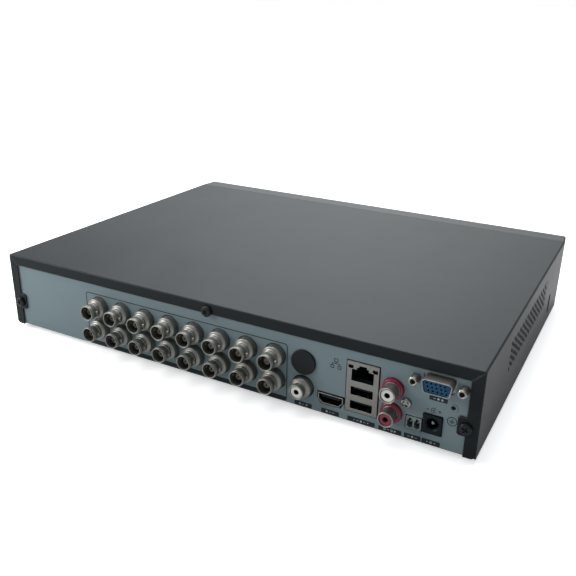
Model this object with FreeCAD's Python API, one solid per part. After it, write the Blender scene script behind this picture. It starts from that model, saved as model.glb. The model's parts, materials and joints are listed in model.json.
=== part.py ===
import FreeCAD
import Part
import math
import os

# A sixteen-channel video recorder in a sheet-steel case. Millimetres, +Z up, rear panel facing +Y.
# Model places are measured from the middle of the case: x from its centre plane, y from the rear
# face of the cover (negative inside), z from the underside of the case. The last step moves every
# piece so that the origin is under the middle of the whole object, on the surface it stands on.

# ---- case
case_width = 322.0
case_depth = 243.0
case_height = 50.3
cover_sheet = 1.0
chassis_sheet = 1.0
sheet_gap = 0.2
cover_bend = 1.2
rear_flange = 6.7
mitre_slit = 0.25
tab_reach = 4.4
tab_bottom = 12.0
tab_top = 22.8
tab_corner = 1.6
flange_corner = 3.0
chassis_lip = 14.0
front_wall_height = 44.0
foot_height = 3.0
foot_radius = 7.0
foot_inset = 30.0

# ---- screws
screw_radius = 1.45
screw_hole_play = 0.1
recess_half = 0.4
cover_screw_head = 3.25
cover_screw_rise = 2.2
cover_screw_length = 6.0
cover_screw_in = 6.5
cover_screw_z = 16.9
cover_screw_top = 5.1
small_head = 2.7
small_head_rise = 1.8

# ---- side vents and side socket
vent_radius = 1.5
vent_pitch = 4.0
vent_length = 108.2
vent_rows = 5
vent_middle_y = -112.0
vent_middle_z = 31.65
side_usb_y = -190.0
side_usb_z = 14.9
side_board_inset = 3.0
side_board_right = -134.0

# ---- front bezel
bezel_depth = 15.5
bezel_wall = 2.2
bezel_gap = 0.3
bezel_taper = 1.5
bezel_corner = 2.5
bezel_lip_rise = 4.0
bezel_lip_run = 15.0
groove_z = 31.0
groove_width = 1.2
groove_depth = 0.7
window_x = 95.0
window_z = 18.0
window_width = 92.0
window_height = 12.0
window_sheet = 1.5
window_play = 0.15
guide_radius = 1.5
guide_count = 3
guide_pitch = 9.0
front_board_gap = 6.8

# ---- circuit board
board_sheet = 1.6
board_rise = 5.4
board_left = -157.0
board_right = 95.0
board_back = -3.2
board_front = -118.0
standoff_flat = 5.5

# ---- coaxial sockets
bnc_columns = 8
bnc_rows = 2
bnc_first_x = 83.5
bnc_pitch = 18.34
bnc_lift = 6.7
bnc_row_pitch = 14.9
bnc_reach = 12.5
bnc_base_radius = 6.4
bnc_base_length = 4.4
bnc_barrel_radius = 4.82
bnc_neck_radius = 4.5
bnc_bore_radius = 4.1
bnc_bore_depth = 9.0
bnc_post_radius = 1.9
bnc_post_drop = 3.0
bnc_lug_radius = 1.0
bnc_lug_rise = 0.75
bnc_lug_back = 4.6
bnc_tail = 11.0
bnc_hole_play = 0.5
bnc_block_depth = 19.0
contact_radius = 0.75
contact_bore = 0.45

# ---- phono sockets
audio_out_x = -62.7
audio_out_lift = 6.6
audio_in_x = -115.0
audio_in_lift = 6.5
audio_in_pitch = 14.2
phono_barrel_radius = 4.15
phono_bore_radius = 3.55
phono_mouth_radius = 1.6
audio_out_reach = 8.5
audio_in_reach = 9.5
phono_ring_radius = 5.9
phono_ring_rise = 2.2
phono_rim = 0.25

# ---- other rear fittings
plug_x = -62.9
plug_radius = 7.45
plug_rise = 1.2
hdmi_x = -80.0
hdmi_width = 15.0
hdmi_height = 6.2
stack_x = -97.95
stack_width = 18.5
stack_height = 30.4
stack_depth = 21.0
stack_wall = 0.5
stack_reach = 0.6
lan_lift = 22.5
lan_width = 12.6
lan_height = 7.0
lan_depth = 12.0
usb_width = 12.7
usb_height = 5.0
usb_depth = 11.5
usb_lift = 4.5
usb_pitch = 8.5
tongue_thick = 1.8
lamp_offset = 6.9
vga_x = -138.95
vga_lift = 30.4
vga_screw_pitch = 25.0
vga_width = 16.4
vga_height = 7.8
vga_reach = 6.4
jack_screw_flat = 4.8
jack_screw_reach = 5.8
jack_screw_bore = 1.35
terminal_x = -127.4
terminal_width = 8.4
terminal_height = 7.4
terminal_pitch = 3.8
dc_x = -137.25
dc_lift = 0.4
dc_width = 9.9
dc_height = 11.2
dc_bore = 3.15
dc_pin = 1.0
dc_bore_depth = 9.5
ground_x = -147.0
ground_lift = 18.8
ground_radius = 1.25
ground_rim = 2.1
fixing_x = -122.6
fixing_lift = 14.4
cutout_gap = 0.4

# ---- printed marks on the rear panel
print_thick = 0.08
print_line = 0.45
frame_left = -52.8
frame_right = 94.5
frame_top = 37.0
bar_bottom = 0.9
bar_top = 3.7
label_marks = [
    (-63.25, 10.9),
    (-80.0, 10.8),
    (-98.4, 16.0),
    (-115.0, 12.8),
    (-127.4, 9.0),
    (-137.35, 9.7),
]
vga_mark_z = 28.35
vga_mark_width = 9.4

# ---- hard drive
drive_length = 147.0
drive_width = 101.6
drive_height = 26.1
drive_left = -70.0
drive_back = -123.0
drive_rise = 2.5
drive_wall = 3.2
drive_lid_sheet = 1.0
drive_floor = 6.0
drive_boss = 5.0
disc_radius = 47.5
disc_sheet = 1.27
disc_pitch = 4.5
disc_count = 2
disc_first = 4.2
hub_radius = 15.0
spindle_radius = 4.0
spindle_play = 0.05
pivot_along = 54.0
pivot_across = -22.0
arm_length = 48.0
arm_sheet = 0.9
pivot_radius = 8.0
pivot_post = 3.0
park_angle = 102.7

# ---- processor cooler
cooler_x = -30.0
cooler_y = -72.0
chip_size = 25.0
chip_rise = 2.0
sink_size = 42.0
sink_base = 3.0
sink_rise = 12.0
fin_count = 9
fin_sheet = 1.2
fan_size = 40.0
fan_rise = 10.0
fan_bore = 18.9
fan_hub = 11.0
fan_post = 1.0
fan_blades = 7
fan_tip_gap = 0.7

# ---- places that follow from the sizes above
half_width = case_width / 2
front_face = -case_depth
bezel_back = front_face + bezel_depth
panel_face = -cover_sheet
panel_back = panel_face - chassis_sheet
chassis_half = half_width - cover_sheet - sheet_gap
board_top = board_rise + board_sheet
bnc_low_z = board_top + bnc_lift
plug_z = bnc_low_z + bnc_row_pitch + 0.2
audio_out_z = board_top + audio_out_lift
audio_in_low_z = board_top + audio_in_lift
hdmi_z = board_top + hdmi_height / 2
stack_bottom = board_top
lan_z = board_top + lan_lift
usb_low_z = board_top + usb_lift
vga_z = board_top + vga_lift
terminal_z = board_top + terminal_height / 2
dc_z = board_top + dc_lift + dc_height / 2
fixing_z = board_top + fixing_lift
ground_z = board_top + ground_lift
front_board_y = front_face + bezel_wall + front_board_gap
side_board_y = side_usb_y - usb_height / 2 - 0.4
bnc_tip = panel_face + bnc_reach
model_shift = FreeCAD.Vector(0, (case_depth - bnc_tip) / 2, foot_height)


def vec(x, y, z):
    return FreeCAD.Vector(x, y, z)


def block(x0, x1, y0, y1, z0, z1):
    return Part.makeBox(x1 - x0, y1 - y0, z1 - z0, vec(x0, y0, z0))


def centred(x, y, z0, width, depth, height):
    # a block standing on z0 with its middle at x, y
    return block(x - width / 2, x + width / 2, y - depth / 2, y + depth / 2, z0, z0 + height)


def rod_x(x0, x1, y, z, radius):
    return Part.makeCylinder(radius, x1 - x0, vec(x0, y, z), vec(1, 0, 0))


def rod_y(x, z, y0, y1, radius):
    return Part.makeCylinder(radius, y1 - y0, vec(x, y0, z), vec(0, 1, 0))


def rod_z(x, y, z0, z1, radius):
    return Part.makeCylinder(radius, z1 - z0, vec(x, y, z0), vec(0, 0, 1))


def prism(points, push):
    # a flat polygon pushed along a vector
    corners = [vec(*p) for p in points]
    return Part.Face(Part.makePolygon(corners + [corners[0]])).extrude(push)


def join(shapes):
    shape = shapes[0]
    if len(shapes) > 1:
        shape = shape.fuse(shapes[1:])
    return shape.removeSplitter()


def carve(shape, tools):
    return shape.cut(Part.makeCompound(tools))


def soften(shape, radius, chosen):
    # rounds the straight edges that the test picks by their middle point and direction
    edges = []
    for edge in shape.Edges:
        span = edge.Vertexes[-1].Point - edge.Vertexes[0].Point
        if span.Length > 1e-6 and chosen(edge.CenterOfMass, span.normalize()):
            edges.append(edge)
    return shape.makeFillet(radius, edges)


def rounded_y(x, z, width, height, y0, y1, radius):
    # a block along y whose four long corners are rounded
    shape = block(x - width / 2, x + width / 2, y0, y1, z - height / 2, z + height / 2)
    return soften(shape, radius, lambda middle, way: abs(way.y) > 0.9)


def turned_y(x, z, outline):
    # a solid turned about a line along y; the outline lists (y, radius) from end to end
    points = [vec(r, y, 0) for y, r in outline]
    points = [vec(0, outline[0][0], 0)] + points + [vec(0, outline[-1][0], 0)]
    face = Part.Face(Part.makePolygon(points + [points[0]]))
    shape = face.revolve(vec(0, 0, 0), vec(0, 1, 0), 360)
    shape.translate(vec(x, 0, z))
    return shape


def hex_y(x, z, flat, y0, y1):
    # a hexagonal bar along y, measured across its flats
    reach = flat / math.sqrt(3)
    points = []
    for k in range(6):
        angle = math.radians(60 * k + 30)
        points.append((x + reach * math.cos(angle), y0, z + reach * math.sin(angle)))
    return prism(points, vec(0, y1 - y0, 0))


def hex_z(x, y, flat, z0, z1):
    reach = flat / math.sqrt(3)
    points = []
    for k in range(6):
        angle = math.radians(60 * k)
        points.append((x + reach * math.cos(angle), y + reach * math.sin(angle), z0))
    return prism(points, vec(0, 0, z1 - z0))


def cross_screw_y(x, z, seat, head_radius, head_rise, length):
    # a pan-head screw pointing into the panel, with a cross recess
    top = seat + head_rise
    head = rod_y(x, z, seat, top, head_radius)
    head = head.makeFillet(head_rise * 0.55, [e for e in head.Edges if abs(e.CenterOfMass.y - top) < 0.01])
    shank = rod_y(x, z, seat - length, seat + 0.5, screw_radius)
    arm = head_radius * 0.55
    low = top - head_rise * 0.6
    slots = [
        block(x - arm, x + arm, low, top + 1, z - recess_half, z + recess_half),
        block(x - recess_half, x + recess_half, low, top + 1, z - arm, z + arm),
    ]
    return carve(join([head, shank]), slots)


def cross_screw_z(x, y, seat, length):
    # the same kind of screw standing on a flat surface, its head above the seat
    top = seat + small_head_rise
    head = rod_z(x, y, seat, top, small_head)
    rim = [e for e in head.Edges if abs(e.CenterOfMass.z - top) < 0.01]
    head = head.makeFillet(small_head_rise * 0.5, rim)
    shank = rod_z(x, y, seat - length, seat + 0.5, screw_radius)
    arm = small_head * 0.55
    low = top - small_head_rise * 0.6
    slots = [
        block(x - arm, x + arm, y - recess_half, y + recess_half, low, top + 1),
        block(x - recess_half, x + recess_half, y - arm, y + arm, low, top + 1),
    ]
    return carve(join([head, shank]), slots)


# ---- places that several pieces share

def bnc_places():
    return [
        (bnc_first_x - column * bnc_pitch, bnc_low_z + row * bnc_row_pitch)
        for row in range(bnc_rows)
        for column in range(bnc_columns)
    ]


def cover_screw_places():
    side = half_width - cover_screw_in
    return [(side, cover_screw_z), (-side, cover_screw_z), (0.0, case_height - cover_screw_top)]


def audio_in_places():
    return [(audio_in_x, audio_in_low_z), (audio_in_x, audio_in_low_z + audio_in_pitch)]


def foot_places():
    across = half_width - foot_inset
    return [(sx * across, y) for sx in (-1, 1) for y in (-foot_inset, front_face + foot_inset)]


def standoff_places():
    xs = [board_right - 6, (board_left + board_right) / 2 + 6, -78.0, board_left + 7]
    ys = [board_back - 26.0, board_front + 6]
    return [(x, y) for x in xs for y in ys]


def drive_screw_places():
    xs = [drive_left + 28.5, drive_left + 28.5 + 76.6]
    ys = [drive_back - 6.0, drive_back - drive_width + 6.0]
    return [(x, y) for x in xs for y in ys]


def vga_screw_places():
    return [(vga_x + s * vga_screw_pitch / 2, vga_z) for s in (1, -1)]


def front_board_places():
    return [(window_x + s * (window_width / 2 + 4.5), window_z) for s in (-1, 1)]


def guide_places():
    return [window_x - window_width / 2 + 20 + k * guide_pitch for k in range(guide_count)]


# ---- sheet-metal case

def vent_holes(x0, x1):
    holes = []
    step = vent_pitch * math.sqrt(3) / 2
    columns = int((vent_length - 2 * vent_radius) / step) + 1
    for column in range(columns):
        y = vent_middle_y + (column - (columns - 1) / 2) * step
        rows = vent_rows - column % 2
        for row in range(rows):
            z = vent_middle_z + (row - (rows - 1) / 2) * vent_pitch
            holes.append(rod_x(x0, x1, y, z, vent_radius))
    return holes


def make_top_cover():
    front = bezel_back + bezel_gap
    shell = block(-half_width, half_width, front, 0, 0, case_height)
    shell = soften(shell, cover_bend, lambda middle, way: middle.z > case_height - 0.1 and abs(way.y) > 0.9)
    shell = soften(
        shell,
        cover_bend * 0.7,
        lambda middle, way: middle.y > -0.1 and (abs(way.z) > 0.9 or abs(way.x) > 0.9) and middle.z > 0.1,
    )
    inner = half_width - cover_sheet
    hollow = block(-inner, inner, front - 1, -cover_sheet, -1, case_height - cover_sheet)
    edge = half_width - rear_flange
    window = block(-edge, edge, -2 * cover_sheet, 1, -1, case_height - rear_flange)
    for side in (-1, 1):
        mid = side * (edge - tab_reach / 2 + tab_reach)
        tab_middle = (tab_bottom + tab_top) / 2
        tab = rounded_y(mid, tab_middle, 3 * tab_reach, tab_top - tab_bottom, -3, 2, tab_corner)
        window = window.cut(tab)
    tools = [hollow, window]
    for side in (-1, 1):
        corner = side * half_width
        x0 = min(corner, corner - side * flange_corner)
        waste = block(x0, x0 + flange_corner, -cover_sheet, 1, -1, flange_corner)
        round_off = rod_y(corner - side * flange_corner, flange_corner, -cover_sheet - 1, 2, flange_corner)
        tools.append(waste.cut(round_off))
        slit = block(0.3, rear_flange * 1.25, -cover_sheet, 1, -mitre_slit / 2, mitre_slit / 2)
        slit.rotate(vec(0, 0, 0), vec(0, 1, 0), -45 if side > 0 else -135)
        slit.translate(vec(side * edge, 0, case_height - rear_flange))
        tools.append(slit)
    for x, z in cover_screw_places():
        tools.append(rod_y(x, z, -2 * cover_sheet, 1, screw_radius + 0.25))
    top_x, top_z = cover_screw_places()[-1]
    notch = screw_radius + 0.25
    flange_edge = case_height - rear_flange
    tools.append(block(top_x - notch, top_x + notch, -2 * cover_sheet, 1, flange_edge - 1, top_z))
    tools += vent_holes(-half_width - 1, half_width + 1)
    slot = block(
        -half_width - 1,
        -half_width + cover_sheet + 0.5,
        side_usb_y - usb_height / 2 - cutout_gap,
        side_usb_y + usb_height / 2 + cutout_gap,
        side_usb_z - usb_width / 2 - cutout_gap,
        side_usb_z + usb_width / 2 + cutout_gap,
    )
    tools.append(soften(slot, 0.6, lambda middle, way: abs(way.x) > 0.9))
    return carve(shell, tools)


def rear_cutouts():
    y0 = panel_back - 1
    y1 = panel_face + 2
    gap = cutout_gap
    tools = [rod_y(x, z, y0, y1, bnc_base_radius + bnc_hole_play) for x, z in bnc_places()]
    tools.append(rod_y(audio_out_x, audio_out_z, y0, y1, bnc_base_radius + bnc_hole_play))
    tools += [rod_y(x, z, y0, y1, phono_ring_radius + gap / 2) for x, z in audio_in_places()]
    tools.append(rod_y(plug_x, plug_z, y0, y1, plug_radius - 1.2))
    tools.append(hdmi_prism(y0, y1, gap + 0.35))
    middle = stack_bottom + stack_height / 2
    tools.append(rounded_y(stack_x, middle, stack_width + 2 * gap, stack_height + 2 * gap, y0, y1, 0.5))
    tools.append(
        rounded_y(terminal_x, terminal_z, terminal_width + 2 * gap, terminal_height + 2 * gap, y0, y1, 0.4)
    )
    tools.append(rounded_y(dc_x, dc_z, dc_width + 2 * gap, dc_height + 2 * gap, y0, y1, 0.8))
    tools.append(vga_prism(y0, y1, gap + 0.5))
    tools += [rod_y(x, z, y0, y1, screw_radius + 0.35) for x, z in vga_screw_places()]
    tools += [rod_y(x, z, y0, y1, screw_radius + screw_hole_play) for x, z in cover_screw_places()]
    tools.append(rod_y(fixing_x, fixing_z, y0, y1, screw_radius + screw_hole_play))
    tools.append(rod_y(ground_x, ground_z, y0 - 2, y1, ground_radius))
    return tools


def floor_cutouts():
    tools = [rod_z(x, y, -1, chassis_sheet + 1, 2.6) for x, y in foot_places()]
    tools += [rod_z(x, y, -1, chassis_sheet + 5, screw_radius + 0.25) for x, y in drive_screw_places()]
    for row in range(3):
        for column in range(12):
            x = drive_left + 14 + column * 11
            y = drive_back - 30 - row * 21
            slot = block(x - 1.5, x + 1.5, y - 7, y + 7, -1, chassis_sheet + 1)
            tools.append(soften(slot, 1.45, lambda middle, way: abs(way.z) > 0.9))
    return tools


def sheet_top():
    # the height of the upright sheets under the cover
    return case_height - cover_sheet - sheet_gap


def make_base_chassis():
    # the floor with a turned-up lip along each side, four bosses under the drive and a tab for a board
    front = bezel_back + chassis_sheet
    floor = block(-chassis_half, chassis_half, front, panel_back, 0, chassis_sheet)
    pieces = [floor]
    for side in (-1, 1):
        outer = side * chassis_half
        inner = side * (chassis_half - chassis_sheet)
        pieces.append(block(min(outer, inner), max(outer, inner), front, panel_back, 0, chassis_lip))
    for x, y in drive_screw_places():
        pieces.append(rod_z(x, y, chassis_sheet / 2, chassis_sheet + drive_rise, drive_boss))
    shelf_y = side_board_y - board_sheet
    pieces.append(block(-150, -134, shelf_y - chassis_sheet, shelf_y, chassis_sheet / 2, 24))
    tray = join(pieces)
    tray = soften(tray, 0.9, lambda middle, way: middle.z < 0.01 and abs(way.y) > 0.9
                  and abs(middle.x) > chassis_half - 0.1)
    usb_way = block(
        -half_width,
        -chassis_half + 2 * chassis_sheet,
        side_usb_y - usb_height / 2 - 1,
        side_usb_y + usb_height / 2 + 1,
        side_usb_z - usb_width / 2 - 1,
        case_height,
    )
    hole = screw_radius + screw_hole_play
    mount_holes = [rod_y(x, z, shelf_y - 3, shelf_y + 1, hole) for x, z in side_board_places()]
    return carve(tray, floor_cutouts() + [usb_way] + mount_holes)


def make_rear_panel():
    panel = block(-chassis_half, chassis_half, panel_back, panel_face, 0, sheet_top())
    panel = soften(panel, 0.9, lambda middle, way: middle.z < 0.01 and middle.y > panel_face - 0.01)
    rim = rod_y(ground_x, ground_z, panel_back - 1.2, panel_face + 0.35, ground_rim)
    return carve(join([panel, rim]), rear_cutouts())


def make_front_wall():
    # the upright sheet behind the bezel, with three large windows and the slots for its hooks
    back = bezel_back + chassis_sheet
    wall = block(-chassis_half, chassis_half, bezel_back, back, 0, front_wall_height)
    tools = []
    for x in (-95, 20, 112):
        hole = block(x - 50, x + 50, bezel_back - 1, back + 1, 12, 36)
        tools.append(soften(hole, 3, lambda middle, way: abs(way.y) > 0.9))
    low = front_wall_height - 6.4
    high = front_wall_height - 1.8
    tools += [block(x - 5.6, x + 5.6, bezel_back - 1, back + 1, low, high) for x in hook_places()]
    return carve(wall, tools)


def side_board_places():
    return [(-142.0, 5.2), (-142.0, 22.5)]


def make_cover_screws():
    return Part.makeCompound([
        cross_screw_y(x, z, 0, cover_screw_head, cover_screw_rise, cover_screw_length)
        for x, z in cover_screw_places()
    ])


def make_rubber_feet():
    feet = []
    for x, y in foot_places():
        under = vec(x, y, -foot_height)
        pad = Part.makeCone(foot_radius - 0.8, foot_radius, foot_height, under, vec(0, 0, 1))
        peg = rod_z(x, y, -0.5, chassis_sheet + 2.2, 2.5)
        dish = rod_z(x, y, -foot_height - 1, -foot_height + 0.8, 3.0)
        feet.append(join([pad, peg]).cut(dish))
    return Part.makeCompound(feet)


def make_blanking_plug():
    top = panel_face + plug_rise
    head = rod_y(plug_x, plug_z, panel_face, top, plug_radius)
    head = head.makeFillet(0.5, [e for e in head.Edges if abs(e.CenterOfMass.y - top) < 0.01])
    skirt = rod_y(plug_x, plug_z, panel_back - 4, panel_face + 0.2, plug_radius - 1.3)
    bead = rod_y(plug_x, plug_z, panel_back - 2.2, panel_back - 0.2, plug_radius - 0.9)
    hollow = rod_y(plug_x, plug_z, panel_back - 5, panel_face - 0.2, plug_radius - 2.6)
    return carve(join([head, skirt, bead]), [hollow])


# ---- front bezel and its fittings

def hook_places():
    return [-120, -40, 40, 120]


def make_front_bezel():
    tip = half_width - bezel_taper
    plan = [
        (-half_width, bezel_back, 0), (half_width, bezel_back, 0),
        (tip, front_face, 0), (-tip, front_face, 0),
    ]
    body = prism(plan, vec(0, 0, case_height))
    body = soften(body, bezel_corner, lambda middle, way: abs(way.z) > 0.9 and middle.y < front_face + 1)
    lip = prism(
        [(-half_width - 1, front_face - 1, -0.01), (-half_width - 1, front_face + bezel_lip_run, -0.01),
         (-half_width - 1, front_face, bezel_lip_rise), (-half_width - 1, front_face - 1, bezel_lip_rise)],
        vec(case_width + 2, 0, 0),
    )
    body = body.cut(lip)
    body = soften(body, 1.2, lambda middle, way: middle.z > case_height - 0.1 and middle.y < front_face + 0.1
                  and abs(way.x) > 0.9)
    inner = half_width - bezel_wall - bezel_taper
    inner_face = front_face + bezel_wall
    cavity = prism(
        [(-inner, bezel_back + 1, bezel_wall), (-inner, front_face + bezel_lip_run, bezel_wall),
         (-inner, inner_face, bezel_wall + bezel_lip_rise), (-inner, inner_face, case_height - bezel_wall),
         (-inner, bezel_back + 1, case_height - bezel_wall)],
        vec(2 * inner, 0, 0),
    )
    groove = block(-half_width, half_width, front_face - 1, front_face + groove_depth,
                   groove_z - groove_width / 2, groove_z + groove_width / 2)
    seat = rounded_y(window_x, window_z, window_width + 2 * window_play, window_height + 2 * window_play,
                     front_face - 1, front_face + window_sheet, 1.5)
    wide = window_width - 4
    high = window_height - 4
    hole = rounded_y(window_x, window_z, wide, high, front_face, inner_face + 1, 1.2)
    body = carve(body, [cavity, groove, seat, hole])
    pieces = [body]
    seat_y = front_board_y
    for x, z in front_board_places():
        pieces.append(rod_y(x, z, inner_face - 0.5, seat_y, 3.0))
    hook_low = front_wall_height - 5.6
    roof = case_height - bezel_wall + 0.5
    for x in hook_places():
        pieces.append(block(x - 5, x + 5, bezel_back - 3, bezel_back - 0.6, hook_low, roof))
        pieces.append(block(x - 5, x + 5, bezel_back - 3, bezel_back + 4, hook_low, hook_low + 1.8))
        barb = prism(
            [(x - 5, bezel_back + 1.4, hook_low + 1.6), (x - 5, bezel_back + 4, hook_low + 1.6),
             (x - 5, bezel_back + 1.4, hook_low + 3.2)],
            vec(10, 0, 0),
        )
        pieces.append(barb)
    bore = screw_radius + screw_hole_play
    bores = [rod_y(x, z, inner_face + 1, seat_y + 1, bore) for x, z in front_board_places()]
    return carve(join(pieces), bores)


def make_front_window():
    back = front_face + window_sheet
    return rounded_y(window_x, window_z, window_width, window_height, front_face, back, 1.4)


def make_front_board():
    seat_y = front_board_y
    wide = window_width + 18
    back = seat_y + board_sheet
    plate = rounded_y(window_x, window_z, wide, window_height + 5, seat_y, back, 1.0)
    holes = [rod_y(x, z, seat_y - 1, seat_y + 3, screw_radius + 0.2) for x, z in front_board_places()]
    plug = block(window_x + 4, window_x + 18, back, back + 4.2, window_z - 2.5, window_z + 2.5)
    return join([carve(plate, holes), plug])


def make_status_leds():
    seat_y = front_board_y
    lamps = []
    for x in guide_places():
        foot = rod_y(x, window_z, seat_y - 1.2, seat_y, 1.8)
        dome = rod_y(x, window_z, seat_y - 2.6, seat_y - 1.0, 1.5)
        lamps.append(join([foot, dome]))
    return Part.makeCompound(lamps)


def make_light_guides():
    near = front_face + window_sheet
    far = front_board_y - 2.8
    guides = []
    for x in guide_places():
        stem = rod_y(x, window_z, near, far, guide_radius)
        flange = rod_y(x, window_z, near + 1.4, near + 2.4, guide_radius + 1.0)
        guides.append(join([stem, flange]))
    return Part.makeCompound(guides)


def make_infrared_receiver():
    seat_y = front_board_y
    x = window_x + window_width / 2 - 20
    case = block(x - 3, x + 3, seat_y - 3.2, seat_y, window_z - 3.5, window_z + 3.5)
    lens = Part.makeSphere(2.2, vec(x, seat_y - 3.0, window_z))
    return join([case, lens])


# ---- main circuit board

def make_main_board():
    plate = block(board_left, board_right, board_front, board_back, board_rise, board_top)
    plate = soften(plate, 2.0, lambda middle, way: abs(way.z) > 0.9)
    holes = [rod_z(x, y, 0, 20, screw_radius + 0.2) for x, y in standoff_places()]
    return carve(plate, holes)


def make_board_standoffs():
    posts = []
    for x, y in standoff_places():
        post = hex_z(x, y, standoff_flat, chassis_sheet, board_rise)
        posts.append(post.cut(rod_z(x, y, chassis_sheet + 0.6, board_rise + 1, screw_radius + 0.05)))
    return Part.makeCompound(posts)


def make_board_screws():
    # the main board, the front board, the side socket board and the fan
    screws = [cross_screw_z(x, y, board_top, 4.8) for x, y in standoff_places()]
    for x, z in front_board_places():
        screws.append(cross_screw_y(x, z, front_board_y + board_sheet, small_head, small_head_rise, 6.0))
    for x, z in side_board_places():
        screws.append(cross_screw_y(x, z, side_board_y, small_head, small_head_rise, 4.0))
    for x, y in fan_screw_places():
        screws.append(cross_screw_z(x, y, fan_base() + fan_rise, fan_rise + 4.5))
    return Part.makeCompound(screws)


def make_processor():
    chip = centred(cooler_x, cooler_y, board_top, chip_size, chip_size, chip_rise)
    return soften(chip, 0.3, lambda middle, way: middle.z > board_top + chip_rise - 0.1)


def make_heat_sink():
    z0 = board_top + chip_rise
    base = centred(cooler_x, cooler_y, z0, sink_size, sink_size, sink_base)
    pieces = [base]
    for k in range(fin_count):
        x = cooler_x + (k / (fin_count - 1) - 0.5) * (sink_size - fin_sheet)
        fin_rise = sink_rise - sink_base + 0.2
        pieces.append(centred(x, cooler_y, z0 + sink_base - 0.2, fin_sheet, sink_size, fin_rise))
    for x, y in fan_screw_places():
        pieces.append(rod_z(x, y, z0 + sink_base - 0.2, z0 + sink_rise, 2.6))
    sink = join(pieces)
    bores = [rod_z(x, y, z0 + 4, z0 + sink_rise + 1, screw_radius + 0.05) for x, y in fan_screw_places()]
    return carve(sink, bores)


def fan_screw_places():
    return [(cooler_x + sx * 16, cooler_y + sy * 16) for sx in (-1, 1) for sy in (-1, 1)]


def fan_base():
    return board_top + chip_rise + sink_rise


def make_fan_frame():
    z0 = fan_base()
    frame = centred(cooler_x, cooler_y, z0, fan_size, fan_size, fan_rise)
    frame = soften(frame, 3.0, lambda middle, way: abs(way.z) > 0.9)
    frame = frame.cut(rod_z(cooler_x, cooler_y, z0 - 1, z0 + fan_rise + 1, fan_bore))
    spokes = []
    for k in range(4):
        arm = block(fan_hub - 1, fan_bore + 0.4, -1.2, 1.2, z0, z0 + 1.4)
        arm.rotate(vec(0, 0, 0), vec(0, 0, 1), 90 * k)
        arm.translate(vec(cooler_x, cooler_y, 0))
        spokes.append(arm)
    seat = rod_z(cooler_x, cooler_y, z0, z0 + 1.4, fan_hub)
    post = rod_z(cooler_x, cooler_y, z0, z0 + fan_rise - 2.0, fan_post)
    frame = join([frame, seat, post] + spokes)
    holes = [rod_z(x, y, z0 - 1, z0 + fan_rise + 1, screw_radius + 0.25) for x, y in fan_screw_places()]
    return carve(frame, holes)


def make_fan_rotor():
    z0 = fan_base() + 1.9
    top = z0 + fan_rise - 2.6
    hub = rod_z(cooler_x, cooler_y, z0, top, fan_hub - 0.2)
    hub = hub.makeFillet(0.8, [e for e in hub.Edges if abs(e.CenterOfMass.z - top) < 0.01])
    reach = fan_bore - fan_tip_gap
    blades = []
    for k in range(fan_blades):
        blade = block(fan_hub - 1.5, reach + 2, -0.5, 0.5, -6, 6)
        blade.rotate(vec(0, 0, 0), vec(1, 0, 0), 52)
        blade.translate(vec(0, 0, (z0 + top) / 2))
        blade.rotate(vec(0, 0, 0), vec(0, 0, 1), 360 / fan_blades * k)
        blade.translate(vec(cooler_x, cooler_y, 0))
        blades.append(blade)
    ring = rod_z(cooler_x, cooler_y, z0 + 0.3, top - 1.0, reach)
    fins = [blade.common(ring) for blade in blades]
    rotor = join([hub] + fins)
    return rotor.cut(rod_z(cooler_x, cooler_y, z0 - 1, fan_base() + fan_rise - 1.7, fan_post + 0.05))


def make_board_chips():
    # memory beside the processor, four video front-ends behind the coaxial sockets, flash, network
    # transformer, network driver, audio chip and three moulded coils: x, y, width, depth, height
    memory = [(cooler_x + 34, cooler_y + s * 11, 9.0, 13.0, 1.2) for s in (-1, 1)]
    memory += [(cooler_x - 34, cooler_y + s * 11, 9.0, 13.0, 1.2) for s in (-1, 1)]
    video = [(bnc_first_x - bnc_pitch * (0.5 + 2 * k), -40.0, 12.0, 12.0, 1.4) for k in range(4)]
    others = [
        (20.0, -100.0, 8.0, 6.0, 1.8),
        (stack_x, -38.0, 15.0, 9.0, 5.5),
        (stack_x, -54.0, 7.0, 7.0, 1.0),
        (-118.0, -40.0, 6.0, 5.0, 1.5),
        (-130.0, -56.0, 7.0, 7.0, 4.0),
        (-120.0, -56.0, 7.0, 7.0, 4.0),
        (-134.0, -98.0, 7.0, 7.0, 4.0),
    ]
    chips = []
    for x, y, width, depth, height in memory + video + others:
        chip = centred(x, y, board_top, width, depth, height)
        top = board_top + height
        chips.append(soften(chip, 0.25, lambda middle, way: middle.z > top - 0.05))
    return Part.makeCompound(chips)


def make_capacitors():
    # aluminium cans near the supply and the drive sockets: x, y, radius, height
    cans = [
        (-146.0, -38.0, 4.0, 11.5),
        (-136.0, -40.0, 4.0, 11.5),
        (-146.0, -52.0, 3.2, 8.0),
        (-120.0, -96.0, 3.2, 8.0),
        (-111.0, -96.0, 3.2, 8.0),
        (60.0, -100.0, 3.2, 8.0),
    ]
    shapes = []
    for x, y, radius, height in cans:
        can = rod_z(x, y, board_top, board_top + height, radius)
        can = can.makeFillet(0.5, [e for e in can.Edges if e.CenterOfMass.z > board_top + height - 0.1])
        top = board_top + height
        score = block(x - radius * 0.7, x + radius * 0.7, y - 0.15, y + 0.15, top - 0.3, top + 1)
        shapes.append(can.cut(score))
    return Part.makeCompound(shapes)


def header_places():
    # drive data, drive power, fan, front panel and side socket: x, y, width, depth, height
    return [(86.0, -100.0, 7.0, 16.0, 8.5), (72.0, -100.0, 7.0, 14.0, 8.0),
            (cooler_x + 30, cooler_y - 26, 8.0, 5.0, 6.0), (45.0, -110.0, 14.0, 5.0, 6.0),
            (-139.5, -111.0, 8.0, 5.0, 6.0)]


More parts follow.
